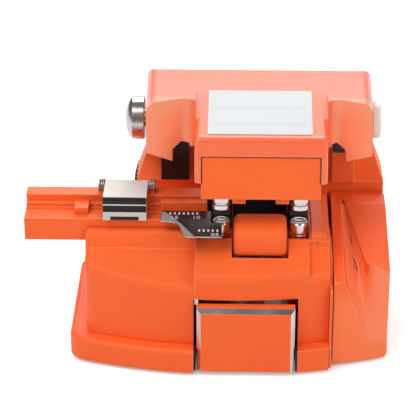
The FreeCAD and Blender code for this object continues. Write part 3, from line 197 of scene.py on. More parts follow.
class Group(Wiring):
    """A node group with named inputs and one output."""

    def __init__(self, name: str, kind: str, inputs: dict[str, str], output: tuple[str, str]) -> None:
        """Start the group.

        Args:
            name: the group's name.
            kind: the type of its tree.
            inputs: the socket type of each input, by its name.
            output: the output's name and socket type.
        """
        super().__init__(bpy.data.node_groups.new(name, kind))
        self.identifiers: dict[str, str] = {}
        for label, socket_type in inputs.items():
            socket = self.tree.interface.new_socket(name=label, in_out="INPUT", socket_type=socket_type)
            self.identifiers[label] = socket.identifier
        self.tree.interface.new_socket(name=output[0], in_out="OUTPUT", socket_type=output[1])
        self.start = self.tree.nodes.new("NodeGroupInput")
        self.end = self.tree.nodes.new("NodeGroupOutput")

    def given(self, label: str) -> Socket:
        """Return the socket of one of the inputs."""
        return self.start.outputs[label]

    def close(self, source: Socket) -> Tree:
        """Feed the output and return the tree."""
        self.feed(self.end, {0: source})
        return self.tree


# ---------------------------------------------------------------- shared effects


class Effect(Enum):
    """Shader groups that more than one finish uses."""

    MOTTLE = "mottle"
    TINT = "tint"
    PEEL = "peel"
    GRAIN = "grain"
    EDGE = "edge"

    def begin(self, inputs: dict[str, str], output: tuple[str, str]) -> Group:
        """Start this effect's group."""
        return Group(self.value, "ShaderNodeTree", inputs, output)


def make_mottle() -> Tree:
    """Build the group that turns a noise into a value between two limits."""
    group = Effect.MOTTLE.begin({"Scale": FLOAT, "Low": FLOAT, "High": FLOAT}, ("Value", FLOAT))
    noise = group.noise(group.given("Scale"), detail=4.0)
    return group.close(group.ramp(noise, (0.3, 0.7), (group.given("Low"), group.given("High"))))


def make_tint() -> Tree:
    """Build the group that drifts a colour slowly towards a second one."""
    group = Effect.TINT.begin({"Colour": COLOUR, "Second": COLOUR, "Scale": FLOAT}, ("Colour", COLOUR))
    amount = group.ramp(group.noise(group.given("Scale"), detail=3.0), (0.35, 0.65))
    return group.close(group.blend(amount, group.given("Colour"), group.given("Second")))


def make_relief(effect: Effect, detail: float, squeeze: Point) -> Tree:
    """Build a group that gives the height of a fine relief.

    Args:
        effect: which relief it is.
        detail: the noise's detail.
        squeeze: the factor on the coordinates along each axis.

    Returns:
        The group's tree.
    """
    group = effect.begin({"Scale": FLOAT}, ("Height", FLOAT))
    return group.close(group.noise(group.given("Scale"), detail, squeeze))


def make_edge() -> Tree:
    """Build the group of a painted highlight along edges: it pales a colour where a softened normal leaves
    the true one.
    """
    group = Effect.EDGE.begin({"Colour": COLOUR, "Pale": COLOUR, "Soft": VECTOR}, ("Colour", COLOUR))
    true_normal = group.out("Normal", "ShaderNodeNewGeometry")
    meeting = group.out("Value", "ShaderNodeVectorMath", {0: true_normal, 1: group.given("Soft")},
                        operation="DOT_PRODUCT")
    amount = group.ramp(meeting, (1.0, 0.80))
    return group.close(group.blend(amount, group.given("Colour"), group.given("Pale")))


def make_effects() -> dict[Effect, Tree]:
    """Build every shared shader group once."""
    return {
        Effect.MOTTLE: make_mottle(),
        Effect.TINT: make_tint(),
        Effect.PEEL: make_relief(Effect.PEEL, detail=2.0, squeeze=(1.0, 1.0, 1.0)),
        Effect.GRAIN: make_relief(Effect.GRAIN, detail=3.0, squeeze=(0.03, 1.0, 1.0)),
        Effect.EDGE: make_edge(),
    }


# ---------------------------------------------------------------- finishes


@dataclass(frozen=True)
class PaintedHighlight:
    """A painted highlight: a slow change towards a paler colour, towards the sides of a piece and along a
    second axis.
    """

    colour: Colour
    across: Pair
    axis: str
    along: Pair

    def lay(self, wiring: Wiring, colour: Socket) -> Socket:
        """Blend the colour on object coordinates.

        Args:
            wiring: the material's tree.
            colour: the colour so far.

        Returns:
            The blended colour.
        """
        aside = wiring.calculate("ABSOLUTE", wiring.spot_along("X"))
        masks = [wiring.ramp(place, metres(*limits), shape="SMOOTHSTEP")
                 for place, limits in ((aside, self.across), (wiring.spot_along(self.axis), self.along))]
        return wiring.blend(wiring.calculate("MULTIPLY", *masks), colour, opaque(self.colour))


@dataclass(frozen=True)
class Finish:
    """One surface finish, with its drift of colour, roughness and relief, and on some painted highlights
    along edges and over areas.
    """

    name: str
    colour: Colour
    second: Colour
    rough: Pair
    metal: float = 0.0
    coat: float = 0.0
    coat_rough: float = 0.1
    sheen_ior: float = 1.5
    relief: Effect = Effect.PEEL
    relief_scale: float = 900.0
    relief_depth: float = 0.05
    tint_scale: float = 60.0
    mottle_scale: float = 200.0
    # The colour and the reach of a painted highlight along rounded edges.
    edge: Colour | None = None
    edge_width: float = 0.45
    # A paler colour painted over some areas: a painted highlight.
    painted_highlight: PaintedHighlight | None = None

    def build(self, effects: dict[Effect, Tree]) -> Material:
        """Make the finish's material.

        Args:
            effects: the shared shader groups.

        Returns:
            The new material.
        """
        material = bpy.data.materials.new(self.name)
        material.use_nodes = True
        material.diffuse_color = opaque(self.colour)
        wiring = Wiring(material.node_tree)
        drift = {"Colour": opaque(self.colour), "Second": opaque(self.second), "Scale": self.tint_scale}
        colour = wiring.out("Colour", SHADER_GROUP, drift, node_tree=effects[Effect.TINT])
        # Pale the colour over the given areas: a painted highlight.
        if self.painted_highlight is not None:
            colour = self.painted_highlight.lay(wiring, colour)
        spread = {"Scale": self.mottle_scale, "Low": self.rough[0], "High": self.rough[1]}
        rough = wiring.out("Value", SHADER_GROUP, spread, node_tree=effects[Effect.MOTTLE])
        fineness = {"Scale": self.relief_scale}
        height = wiring.out("Height", SHADER_GROUP, fineness, node_tree=effects[self.relief])
        bump = {"Strength": self.relief_depth, "Distance": BUMP_DISTANCE * MM, "Height": height}
        # Pale the colour along rounded edges: a painted highlight.
        if self.edge is not None:
            bump["Normal"] = wiring.out("Normal", "ShaderNodeBevel", {"Radius": self.edge_width * MM},
                                        samples=BEVEL_SAMPLES)
            edge_glint = {"Colour": colour, "Pale": opaque(self.edge), "Soft": bump["Normal"]}
            colour = wiring.out("Colour", SHADER_GROUP, edge_glint, node_tree=effects[Effect.EDGE])
        wiring.feed(wiring.tree.nodes["Principled BSDF"], {
            "Base Color": colour,
            "Metallic": self.metal,
            "Roughness": rough,
            "IOR": self.sheen_ior,
            "Normal": wiring.out("Normal", "ShaderNodeBump", bump),
            "Coat Weight": self.coat,
            "Coat Roughness": self.coat_rough,
        })
        return material


@dataclass(frozen=True)
class Paint(Finish):
    """Sprayed paint, with a fine peel."""

    relief_scale: float = 1500.0
    relief_depth: float = 0.12


@dataclass(frozen=True)
class Metal(Finish):
    """Bare metal, with lines left by a brush."""

    metal: float = 1.0
    relief: Effect = Effect.GRAIN


class Coat(Enum):
    """Every finish on the tool."""

    ORANGE = Paint("orange_paint", (0.95, 0.142, 0.028), (0.93, 0.130, 0.025), (0.40, 0.50),
                   sheen_ior=1.32, edge=(1.0, 0.36, 0.15))
    # The lid's paint. Its wings are paler towards the front: a painted highlight.
    LID_ORANGE = Paint("lid_orange_paint", (0.97, 0.128, 0.022), (0.95, 0.115, 0.019), (0.38, 0.48),
                       coat=1.0, coat_rough=0.30, edge=(1.0, 0.40, 0.18),
                       painted_highlight=PaintedHighlight((0.97, 0.27, 0.12), (13.5, 17.0), "Y", (-5.6, -7.8)))
    # The bin's paint, paler towards the bottom: a painted highlight.
    BIN_ORANGE = Paint("bin_orange_paint", (0.96, 0.120, 0.020), (0.94, 0.110, 0.018), (0.38, 0.48),
                       sheen_ior=1.32, edge=(1.0, 0.42, 0.20),
                       painted_highlight=PaintedHighlight((0.97, 0.20, 0.070), (15.0, 16.0), "Z", (24.0, 14.0)))
    # A paler copy of the bin's orange for its hollow: painted light where the lamps leave it in shade.
    SCOOP_HIGHLIGHT = Paint("scoop_painted_highlight", (0.97, 0.22, 0.080), (0.95, 0.205, 0.074), (0.40, 0.50),
                         coat=0.3, coat_rough=0.3)
    # A dark orange for the bin's slots: painted shade inside them.
    SLOT_SHADE = Finish("slot_painted_shade", (0.20, 0.020, 0.004), (0.16, 0.016, 0.004), (0.5, 0.6))
    STEEL = Metal("brushed_steel", (0.60, 0.59, 0.57), (0.50, 0.49, 0.48), (0.28, 0.42), relief_depth=0.25)
    POLISHED = Metal("polished_steel", (0.74, 0.72, 0.70), (0.66, 0.65, 0.63), (0.10, 0.18))
    NICKEL = Metal("nickel_knob", (0.66, 0.61, 0.56), (0.58, 0.53, 0.49), (0.20, 0.30), relief_depth=0.12)
    ALUMINIUM = Metal("bare_aluminium", (0.40, 0.40, 0.41), (0.33, 0.33, 0.34), (0.40, 0.55),
                      relief_depth=0.2)
    PEARL = Metal("pale_nickel", (0.95, 0.87, 0.79), (0.88, 0.80, 0.72), (0.30, 0.42),
                  metal=0.05, relief_depth=0.12)
    CREAM = Metal("cream_steel", (0.64, 0.62, 0.575), (0.575, 0.555, 0.51), (0.38, 0.5),
                  metal=0.10, relief_depth=0.2)
    # A near-black finish for painted shade: the clamp's bend and underside and the collar's socket.
    SHADED = Metal("shaded_steel", (0.026, 0.023, 0.019), (0.016, 0.014, 0.012), (0.42, 0.55),
                   metal=0.0, sheen_ior=1.35, relief_depth=0.3)
    PLATE = Metal("black_plate", (0.028, 0.022, 0.023), (0.02, 0.016, 0.017), (0.3, 0.42),
                  metal=0.0, relief_depth=0.1)
    RUBBER = Finish("rubber", (0.030, 0.030, 0.031), (0.022, 0.022, 0.022), (0.75, 0.9), relief_depth=0.4)
    BLACK = Finish("black_plastic", (0.018, 0.018, 0.021), (0.013, 0.013, 0.015), (0.4, 0.55),
                   relief_depth=0.2)
    LABEL = Finish("white_label", (0.63, 0.64, 0.65), (0.605, 0.62, 0.63), (0.35, 0.45),
                   coat=0.04, coat_rough=0.2, relief_depth=0.03)
    INK_BLUE = Finish("pale_blue_ink", (0.50, 0.68, 0.86), (0.46, 0.64, 0.84), (0.3, 0.4))
    INK_WHITE = Finish("white_ink", (0.82, 0.81, 0.79), (0.72, 0.71, 0.70), (0.45, 0.6))
    INK_GREY = Finish("grey_ink", (0.34, 0.33, 0.32), (0.29, 0.28, 0.27), (0.4, 0.55))


SLOT_FINISH: dict[str, Coat] = {
    "orange_paint": Coat.ORANGE,
    "steel": Coat.STEEL,
    "polished_steel": Coat.POLISHED,
    "rubber": Coat.RUBBER,
    "black_plastic": Coat.BLACK,
    "black_plate": Coat.PLATE,
    "white_label": Coat.LABEL,
    "bare_aluminium": Coat.ALUMINIUM,
}
OWN_FINISH: dict[str, Coat] = {"lid_shell": Coat.LID_ORANGE, "bin_shell": Coat.BIN_ORANGE}


class Paintbox:
    """Makes each finish's material once and hands it out."""

    def __init__(self) -> None:
        """Build the shared effects."""
        self.effects = make_effects()
        self.made: dict[Coat, Material] = {}

    def take(self, coat: Coat) -> Material:
        """Return the material of a finish, made on first use."""
        if coat not in self.made:
            self.made[coat] = coat.value.build(self.effects)
        return self.made[coat]


# ---------------------------------------------------------------- mesh helpers


def put(name: str, data: bpy.types.ID) -> Piece:
    """Put a new object with that data into the scene."""
    piece = bpy.data.objects.new(name, data)
    bpy.context.scene.collection.objects.link(piece)
    return piece


def put_mesh(name: str, work: Work, materials: Sequence[Material]) -> Piece:
    """Make an object of a bmesh.

    Args:
        name: the object's name.
        work: the bmesh, in metres and in the shared frame. It is used up.
        materials: the material slots.

    Returns:
        The new object.
    """
    mesh = bpy.data.meshes.new(name)
    work.to_mesh(mesh)
    work.free()
    for material in materials:
        mesh.materials.append(material)
    return put(name, mesh)


def put_solid(name: str, work: Work, *materials: Material) -> Piece:
    """Make an object of a bmesh whose faces are first turned outwards."""
    bmesh.ops.recalc_face_normals(work, faces=work.faces)
    return put_mesh(name, work, materials)


def plain_mesh(piece: Piece) -> bpy.types.Mesh:
    """Return what a piece's modifiers or curves make of it."""
    bpy.context.view_layer.update()
    graph = bpy.context.evaluated_depsgraph_get()
    return bpy.data.meshes.new_from_object(piece.evaluated_get(graph))


def smooth(piece: Piece, angle: float = 40.0) -> Piece:
    """Shade a piece smooth where its faces meet at less than an angle.

    Args:
        piece: the piece.
        angle: the angle, in degrees.

    Returns:
        The same piece.
    """
    for face in piece.data.polygons:
        face.use_smooth = True
    piece.data.set_sharp_from_angle(angle=math.radians(angle))
    return piece


def joined(name: str, pieces: Sequence[Piece], material: Material) -> Piece:
    """Join several plain pieces into one of that name.

    Args:
        name: the new piece's name.
        pieces: the pieces. They are used up.
        material: the material of the whole.

    Returns:
        The joined piece.
    """
    work = bmesh.new()
    for piece in pieces:
        work.from_mesh(piece.data)
        bpy.data.objects.remove(piece)
    for face in work.faces:
        face.material_index = 0
    return put_mesh(name, work, [material])


def add_block(work: Work, low: Point, high: Point) -> Corners:
    """Add a closed box between two corners.

    Args:
        work: the bmesh to add to.
        low: lowest corner.
        high: highest corner.

    Returns:
        The eight corners.
    """
    spots = [(x, y, z) for x in (low[0], high[0]) for y in (low[1], high[1]) for z in (low[2], high[2])]
    corners = [work.verts.new(spot) for spot in spots]
    for face in ((0, 1, 3, 2), (4, 6, 7, 5), (0, 4, 5, 1), (2, 3, 7, 6), (0, 2, 6, 4), (1, 5, 7, 3)):
        work.faces.new([corners[index] for index in face])
    return corners


def bridge(work: Work, first: Corners, second: Corners, zones: Sequence[int] = ()) -> None:
    """Join two closed loops of as many corners by a band of faces.

    Args:
        work: the bmesh to add to.
        first: one loop.
        second: the other loop.
        zones: the material index of each face, 0 where there is none.
    """
    for index in range(len(first)):
        after = (index + 1) % len(first)
        face = work.faces.new((first[index], first[after], second[after], second[index]))
        face.material_index = zones[index] if zones else 0


def add_prism(work: Work, outline: Sequence[Point], shift: Vector, zones: Sequence[int] = (),
              end_zone: int = 0) -> None:
    """Add a closed prism from an outline.

    Args:
        work: the bmesh to add to.
        outline: the corners of one end.
        shift: the way to the other end.
        zones: the material index of each side, 0 where there is none.
        end_zone: the material index of both ends.
    """
    near_end = [work.verts.new(Vector(spot)) for spot in outline]
    far_end = [work.verts.new(Vector(spot) + shift) for spot in outline]
    bridge(work, near_end, far_end, zones)
    for end in (near_end, far_end[::-1]):
        work.faces.new(end).material_index = end_zone


def lathe(work: Work, outline: Sequence[Pair], place: Matrix, zones: Sequence[int] = (),
          sides: int = 48) -> None:
    """Turn an outline round the Z axis of a place.

    Args:
        work: the bmesh to add to.
        outline: radius and height of each step, in millimetres. Both ends have a radius of 0.
        place: the axis, as a matrix.
        zones: the material index of each band, 0 where there is none.
        sides: how many sides the turned piece has.
    """
    angles = [2.0 * math.pi * step / sides for step in range(sides)]
    rings: list[Corners] = []
    for radius, height in (metres(*step) for step in outline):
        spots = [(radius * math.cos(angle), radius * math.sin(angle), height) for angle in angles]
        if radius == 0.0:
            spots = spots[:1]
        rings.append([work.verts.new(place @ Vector(spot)) for spot in spots])
    for band, (first, second) in enumerate(zip(rings, rings[1:])):
        for step in range(sides):
            after = (step + 1) % sides
            corners = [first[step % len(first)], first[after % len(first)],
                       second[after % len(second)], second[step % len(second)]]
            face = work.faces.new(list(dict.fromkeys(corners)))
            face.material_index = zones[band] if zones else 0


# ---------------------------------------------------------------- repeated forms


class Grower(Group):
    """A Geometry Nodes tree that grows plain pieces of one material."""

    def __init__(self, name: str, inputs: dict[str, str]) -> None:
        """Start the tree, with the material as its last input."""
        super().__init__(name, "GeometryNodeTree", {**inputs, "Material": "NodeSocketMaterial"},
                         ("Geometry", "NodeSocketGeometry"))

    def end_with(self, geometry: Socket) -> "Grower":
        """End the tree with real instances and the material.

        Args:
            geometry: what the tree makes.

        Returns:
            The grower itself.
        """
        real = self.out("Geometry", "GeometryNodeRealizeInstances", {"Geometry": geometry})
        dress = {"Geometry": real, "Material": self.given("Material")}
        self.close(self.out("Geometry", "GeometryNodeSetMaterial", dress))
        return self

    def grow(self, name: str, inputs: dict[str, object]) -> Piece:
        """Grow one piece and keep it as a plain mesh.

        Args:
            name: the piece's name.
            inputs: the value of each of the tree's inputs.

        Returns:
            The new object.
        """
        piece = put(name, bpy.data.meshes.new(name))
        modifier = piece.modifiers.new("grow", "NODES")
        modifier.node_group = self.tree
        for label, value in inputs.items():
            modifier[self.identifiers[label]] = value
        mesh = plain_mesh(piece)
        piece.modifiers.clear()
        piece.data = mesh
        return piece


@cache
def make_tick_row() -> Grower:
    """Build the tree of a row of flat ticks along X."""
    row = Grower("tick_row", {"Start": VECTOR, "Pitch": FLOAT, "Count": "NodeSocketInt", "Size": VECTOR})
    step = row.out("Vector", "ShaderNodeCombineXYZ", {"X": row.given("Pitch")})
    places = {"Count": row.given("Count"), "Start Location": row.given("Start"), "Offset": step}
    line = row.out("Mesh", "GeometryNodeMeshLine", places)
    tick = row.out("Mesh", "GeometryNodeMeshCube", {"Size": row.given("Size")})
    spread = {"Points": line, "Instance": tick}
    return row.end_with(row.out("Instances", "GeometryNodeInstanceOnPoints", spread))


@cache
def make_coil() -> Grower:
    """Build the tree of a coil spring along X."""
    sizes = {"Place": VECTOR, "Turns": FLOAT, "Radius": FLOAT, "Length": FLOAT, "Wire": FLOAT}
    coil = Grower("coil_spring", sizes)
    path = coil.out("Curve", "GeometryNodeCurveSpiral", {
        "Resolution": 28, "Rotations": coil.given("Turns"), "Start Radius": coil.given("Radius"),
        "End Radius": coil.given("Radius"), "Height": coil.given("Length"),
    })
    round_wire = {"Resolution": 10, "Radius": coil.given("Wire")}
    section = coil.out("Curve", "GeometryNodeCurvePrimitiveCircle", round_wire)
    sweep = {"Curve": path, "Profile Curve": section, "Fill Caps": True}
    tube = coil.out("Mesh", "GeometryNodeCurveToMesh", sweep)
    turn = {"Geometry": tube, "Translation": coil.given("Place"), "Rotation": (0.0, math.pi / 2, 0.0)}
    return coil.end_with(coil.out("Geometry", "GeometryNodeTransform", turn))


def numeral(words: str, size: float, place: Point) -> Piece:
    """Make flat figures that are read from the front.

    Args:
        words: the figures.
        size: their height.
        place: the middle of their foot.

    Returns:
        The figures as a mesh.
    """
    data = bpy.data.curves.new(f"figure_{words}", "FONT")
    data.body = words
    data.size = size
    data.align_x = "CENTER"
    data.extrude = FIGURE_THICK * MM
    data.resolution_u = 3
    text = put(data.name, data)
    mesh = plain_mesh(text)
    bpy.data.objects.remove(text)
    mesh.transform(Matrix.Translation(place))
    return put(data.name, mesh)


# ---------------------------------------------------------------- the body's nodes and the carriage


@dataclass
class Body:
    """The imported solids, each given the finish of its material slot."""

    record: dict
    nodes: dict

    def dress(self, paints: Paintbox) -> None:
        """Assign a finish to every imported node.

        Args:
            paints: the finishes.
        """
        for part in self.record["subparts"]:
            node = self.nodes[part["node"]]
            material = paints.take(OWN_FINISH.get(part["node"], SLOT_FINISH[part["material_slot"]]))
            for place in node.material_slots:
                place.material = material
            if not node.material_slots:
                node.data.materials.append(material)
            LOG.info("node %s wears %s", part["node"], material.name)


@dataclass
class PushPlate:
    """The carriage's front plate: a painted face in a bright bevelled rim."""

    bevel: float = 0.9
    bottom_bevel: float = 0.35

    def build(self, paints: Paintbox) -> Piece:
        """Make the plate over the carriage's packed one.

        Args:
            paints: the finishes.

        Returns:
            The plate.
        """
        low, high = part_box("front_plate")
        bevel, bottom_bevel = metres(self.bevel, self.bottom_bevel)
        work = bmesh.new()
        loops = []
        for y, inset, lift in ((high.y, 0.0, 0.0), (low.y + bevel, 0.0, 0.0), (low.y, bevel, bottom_bevel)):
            spots = ((low.x + inset, low.z + lift), (high.x - inset, low.z + lift),
                     (high.x - inset, high.z - inset), (low.x + inset, high.z - inset))
            loops.append([work.verts.new((x, y, z)) for x, z in spots])
        work.faces.new(loops[0])
        for band, (first, second) in enumerate(zip(loops, loops[1:])):
            bridge(work, first, second, [band] * len(first))
        work.faces.new(loops[-1])
        plate = put_solid("push_plate", work, paints.take(Coat.ORANGE), paints.take(Coat.POLISHED))
        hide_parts("front_plate")
        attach(plate, "carriage")
        return plate


@dataclass
class GuardShell:
    """The rounded cover over the blade, open behind and below, on two legs."""

    half: float = 5.85
    rear: float = -12.1
    bottom: float = 25.7
    roof: float = 32.5
    brow: float = -15.6
    brow_reach: Pair = (4.3, 3.2)
    brow_steps: int = 6
    lip_reach: Pair = (0.95, 1.9)
    lip_steps: int = 5
    corner: float = 1.5
    corner_steps: int = 7
    inner_half: float = 4.65
    inner: tuple[Pair, ...] = ((-12.1, 31.7), (-15.9, 31.7), (-19.0, 29.0), (-18.85, 25.7))
    leg: tuple[Point, Point] = ((4.75, -18.2, 15.9), (5.8, -12.1, 27.2))

    def profile(self) -> list[tuple[float, float, float, float]]:
        """Return the outer side view, from rear top to front foot: each place and its way inwards."""
        spots = [(self.rear, self.roof, 0.0, -1.0), (self.brow, self.roof, 0.0, -1.0)]
        for step in range(1, self.brow_steps + 1):
            angle = math.radians(90.0 * step / self.brow_steps)
            ahead, up = math.sin(angle), math.cos(angle)
            spots.append((self.brow - self.brow_reach[0] * ahead,
                          self.roof - self.brow_reach[1] * (1.0 - up), ahead, -up))
        front = self.brow - self.brow_reach[0]
        for step in range(self.lip_steps + 1):
            angle = math.radians(90.0 * step / self.lip_steps)
            spots.append((front + self.lip_reach[0] * (1.0 - math.cos(angle)),
                          self.bottom + self.lip_reach[1] * (1.0 - math.sin(angle)), 1.0, 0.0))
        return spots

    def sections(self) -> list[Pair]:
        """Return each section's place across and how far it is drawn in, from left to right."""
        right = []
        for step in range(self.corner_steps + 1):
            angle = math.radians(90.0 * step / self.corner_steps)
            right.append((self.half - self.corner * (1.0 - math.sin(angle)),
                          self.corner * (1.0 - math.cos(angle))))
        return [(-across, drawn) for across, drawn in reversed(right)] + right

    def skin(self, work: Work, rows: list[list[Point]]) -> tuple[list[Corners], Corners]:
        """Draw one skin and its two cheeks.

        Args:
            work: the bmesh to add to.
            rows: the skin's places, section by section.

        Returns:
            The corners of each section, and the rear foot of each cheek.
        """
        grid = [[work.verts.new(Vector(spot) * MM) for spot in row] for row in rows]
        for first, second in zip(grid, grid[1:]):
            for index in range(len(first) - 1):
                work.faces.new((first[index], first[index + 1], second[index + 1], second[index]))
        feet = [work.verts.new(Vector((row[0][0], self.rear, self.bottom)) * MM)
                for row in (rows[0], rows[-1])]
        for row, heel in zip((grid[0], grid[-1]), feet):
            work.faces.new([*row, heel])
        return grid, feet

    def build(self, paints: Paintbox) -> Piece:
        """Build the shell from an outer and an inner skin, the rim between them and the legs.

        Args:
            paints: the finishes.

        Returns:
            The guard.
        """
        work = bmesh.new()
        profile = self.profile()
        sections = self.sections()
        outer, outer_feet = self.skin(work, [
            [(across, y + way_y * drawn, z + way_z * drawn) for y, z, way_y, way_z in profile]
            for across, drawn in sections
        ])
        inner, inner_feet = self.skin(work, [
            [(across * self.inner_half / self.half, y, z) for y, z in self.inner] for across, _ in sections
        ])
        for end in (0, -1):
            for index in range(len(sections) - 1):
                work.faces.new((outer[index][end], outer[index + 1][end],
                                inner[index + 1][end], inner[index][end]))
            for row_end in (0, -1):
                work.faces.new((outer[end][row_end], outer_feet[end], inner_feet[end], inner[end][row_end]))
        low, high = (metres(*corner) for corner in self.leg)
        add_block(work, low, high)
        add_block(work, (-high[0], *low[1:]), (-low[0], *high[1:]))
        piece = smooth(put_solid("guard_shell", work, paints.take(Coat.ORANGE)), 35.0)
        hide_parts("blade_guard")
        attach(piece, "carriage")
        return piece


# ---------------------------------------------------------------- plates and marks


@dataclass
class ScaleSheet:
    """The black scale plate with its waved front edge, pale rim and grey band."""

    outline: tuple[Pair, ...] = (
        (-22.05, -9.25), (-22.05, -14.0), (-20.8, -14.1), (-19.6, -14.35), (-18.8, -14.85), (-18.25, -15.7),
        (-17.85, -16.7), (-17.5, -18.0), (-17.2, -19.4), (-16.8, -20.7), (-16.2, -21.35), (-8.45, -21.35),
        (-8.45, -14.85), (-10.95, -14.85), (-10.95, -9.25),
    )
    band: tuple[Pair, ...] = (
        (-21.95, -9.6), (-21.0, -10.0), (-19.4, -12.2), (-17.4, -15.6), (-14.4, -21.25), (-16.15, -21.2),
        (-16.7, -20.6), (-17.1, -19.35), (-17.4, -18.0), (-17.75, -16.65), (-18.2, -15.6), (-18.75, -14.75),
        (-19.6, -14.25), (-20.8, -14.0), (-21.95, -13.9),
    )
    band_room: float = 0.03
    band_height: float = 0.02

    def build(self, paints: Paintbox) -> Piece:
        """Cut the plate, with pale edges, and lay its band on it.

        Args:
            paints: the finishes.

        Returns:
            The plate.
        """
        low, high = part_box("scale_plate")
        top = high.z - self.band_room * MM
        work = bmesh.new()
        for spots, foot, height, side_zone, end_zone in (
            (self.outline, low.z, top - low.z, 1, 0),
            (self.band, top, self.band_height * MM, 2, 2),
        ):
            outline = [(*metres(*spot), foot) for spot in spots]
            add_prism(work, outline, Vector((0.0, 0.0, height)), [side_zone] * len(outline), end_zone)
        materials = [paints.take(coat) for coat in (Coat.PLATE, Coat.STEEL, Coat.INK_GREY)]
        piece = put_solid("scale_sheet", work, *materials)
        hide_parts("scale_plate")
        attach(piece, "body")
        return piece


@dataclass
class ScaleMarks:
    """Millimetre ticks and figures on the black scale plate."""

    pitch: float = 1.0
    tick: Point = (0.42, 1.05, 0.04)
    figure: float = 1.9
    figure_lift: float = 0.02
    rows: tuple[tuple[float, float, int], ...] = ((-20.0, -10.6, 7), (-13.4, -18.6, 5))
    figures: tuple[tuple[str, float, float], ...] = (
        ("15", -19.0, -13.1), ("10", -14.2, -13.1), ("05", -9.9, -21.1),
    )

    def build(self, paints: Paintbox) -> Piece:
        """Lay the marks just above the plate.

        Args:
            paints: the finishes.

        Returns:
            The marks.
        """
        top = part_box("scale_plate")[1].z
        ink = paints.take(Coat.INK_WHITE)
        size = metres(*self.tick)
        made = []
        for index, (left, depth, count) in enumerate(self.rows):
            made.append(make_tick_row().grow(f"ticks_{index}", {
                "Start": (*metres(left, depth), top + size[2] / 2), "Pitch": self.pitch * MM,
                "Count": count, "Size": size, "Material": ink,
            }))
        for words, across, depth in self.figures:
            place = (*metres(across, depth), top + self.figure_lift * MM)
            made.append(numeral(words, self.figure * MM, place))
        marks = joined("scale_marks", made, ink)
        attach(marks, "body")
        return marks


@dataclass
class LabelRules:
    """Two pale rules across the bare label."""

    places: Pair = (0.60, 0.24)
    inset: float = 1.4
    width: float = 0.28
    lift: float = 0.03
    flatness: float = 0.02

    def build(self, node: Piece, paints: Paintbox) -> Piece:
        """Draw the rules on the label's upper face.

        Args:
            node: the label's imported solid.
            paints: the finishes.

        Returns:
            The rules.
        """
        inset, half_width, lift, flatness = metres(self.inset, self.width / 2, self.lift, self.flatness)
        facing_up = [face for face in node.data.polygons if face.normal.z > 0.5]
        upper = max(facing_up, key=lambda face: face.area)
        normal = upper.normal.normalized()
        level = max(node.data.vertices[index].co.dot(normal) for index in upper.vertices)
        spots = [vertex.co.copy() for vertex in node.data.vertices
                 if abs(vertex.co.dot(normal) - level) < flatness]
        left = min(spot.x for spot in spots) + inset
        right = max(spot.x for spot in spots) - inset
        front = min(spots, key=lambda spot: spot.y)
        slope = max(spots, key=lambda spot: spot.y) - front
        slope.x = 0.0
        along = slope.normalized()
        work = bmesh.new()
        for place in self.places:
            foot = Vector((0.0, front.y, front.z)) + slope * place
            for corner in add_block(work, (left, -half_width, 0.0), (right, half_width, lift)):
                across, up, out = corner.co
                corner.co = Vector((across, 0.0, 0.0)) + foot + along * up + normal * out
        rules = put_solid("label_rules", work, paints.take(Coat.INK_BLUE))
        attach(rules, "lid")
        return rules


# ---------------------------------------------------------------- turned and bent metal


LID_AXIS = Vector(metres(0.0, 12.0, 44.6))
LID_RAISED = math.radians(8.0)
ON_LID = Matrix.Translation(LID_AXIS) @ Matrix.Rotation(-LID_RAISED, 4, "X")


@dataclass
class LidSpring:
    """The torsion spring on the hinge shaft, wound in real wire."""

    wire: float = 0.45
    turns: float = 14.0

    def build(self, paints: Paintbox) -> Piece:
        """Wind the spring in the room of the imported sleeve.

        Args:
            paints: the finishes.

        Returns:
            The spring.
        """
        low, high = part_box("lid_spring")
        wire = self.wire * MM
        spring = smooth(make_coil().grow("torsion_spring", {
            "Place": (low.x + wire, (low.y + high.y) / 2, (low.z + high.z) / 2), "Turns": self.turns,
            "Radius": (high.z - low.z) / 2 - wire, "Length": high.x - low.x - 2 * wire, "Wire": wire,
            "Material": paints.take(Coat.STEEL),
        }))
        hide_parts("lid_spring")
        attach(spring, "body")
        return spring


@dataclass
class Posts:
    """The four polished posts, turned with their collars."""

    aside: float = 8.6
    lower_depth: float = -12.5
    upper_depth: float = -24.5
    lower: tuple[Pair, ...] = (
        (0.0, 20.02), (2.0, 20.02), (2.0, 28.1), (1.7, 28.3), (1.7, 28.6), (2.0, 28.8), (2.0, 30.85),
        (1.8, 31.08), (1.42, 31.08), (1.42, 29.95), (0.0, 29.95),
    )
    upper: tuple[Pair, ...] = (
        (0.0, -13.42), (1.55, -13.42), (1.95, -13.1), (1.95, -12.2), (1.7, -12.0), (1.7, -11.7),
        (1.97, -11.5), (1.97, -8.62), (0.0, -8.62),
    )

    def build(self, paints: Paintbox) -> list[Piece]:
        """Turn the lower pair on the body and the upper pair on the lid.

        Args:
            paints: the finishes.

        Returns:
            Both pairs.
        """
        made = []
        for node, body, outline, frame, depth in (
            ("lower_posts", "body", self.lower, Matrix.Identity(4), self.lower_depth),
            ("upper_posts", "lid", self.upper, ON_LID, self.upper_depth),
        ):
            work = bmesh.new()
            for side in (-self.aside, self.aside):
                lathe(work, outline, frame @ Matrix.Translation(Vector(metres(side, depth, 0.0))))
            piece = smooth(put_solid(f"turned_{node}", work, paints.take(Coat.POLISHED)), 30.0)
            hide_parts(node)
            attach(piece, body)
            made.append(piece)
        return made


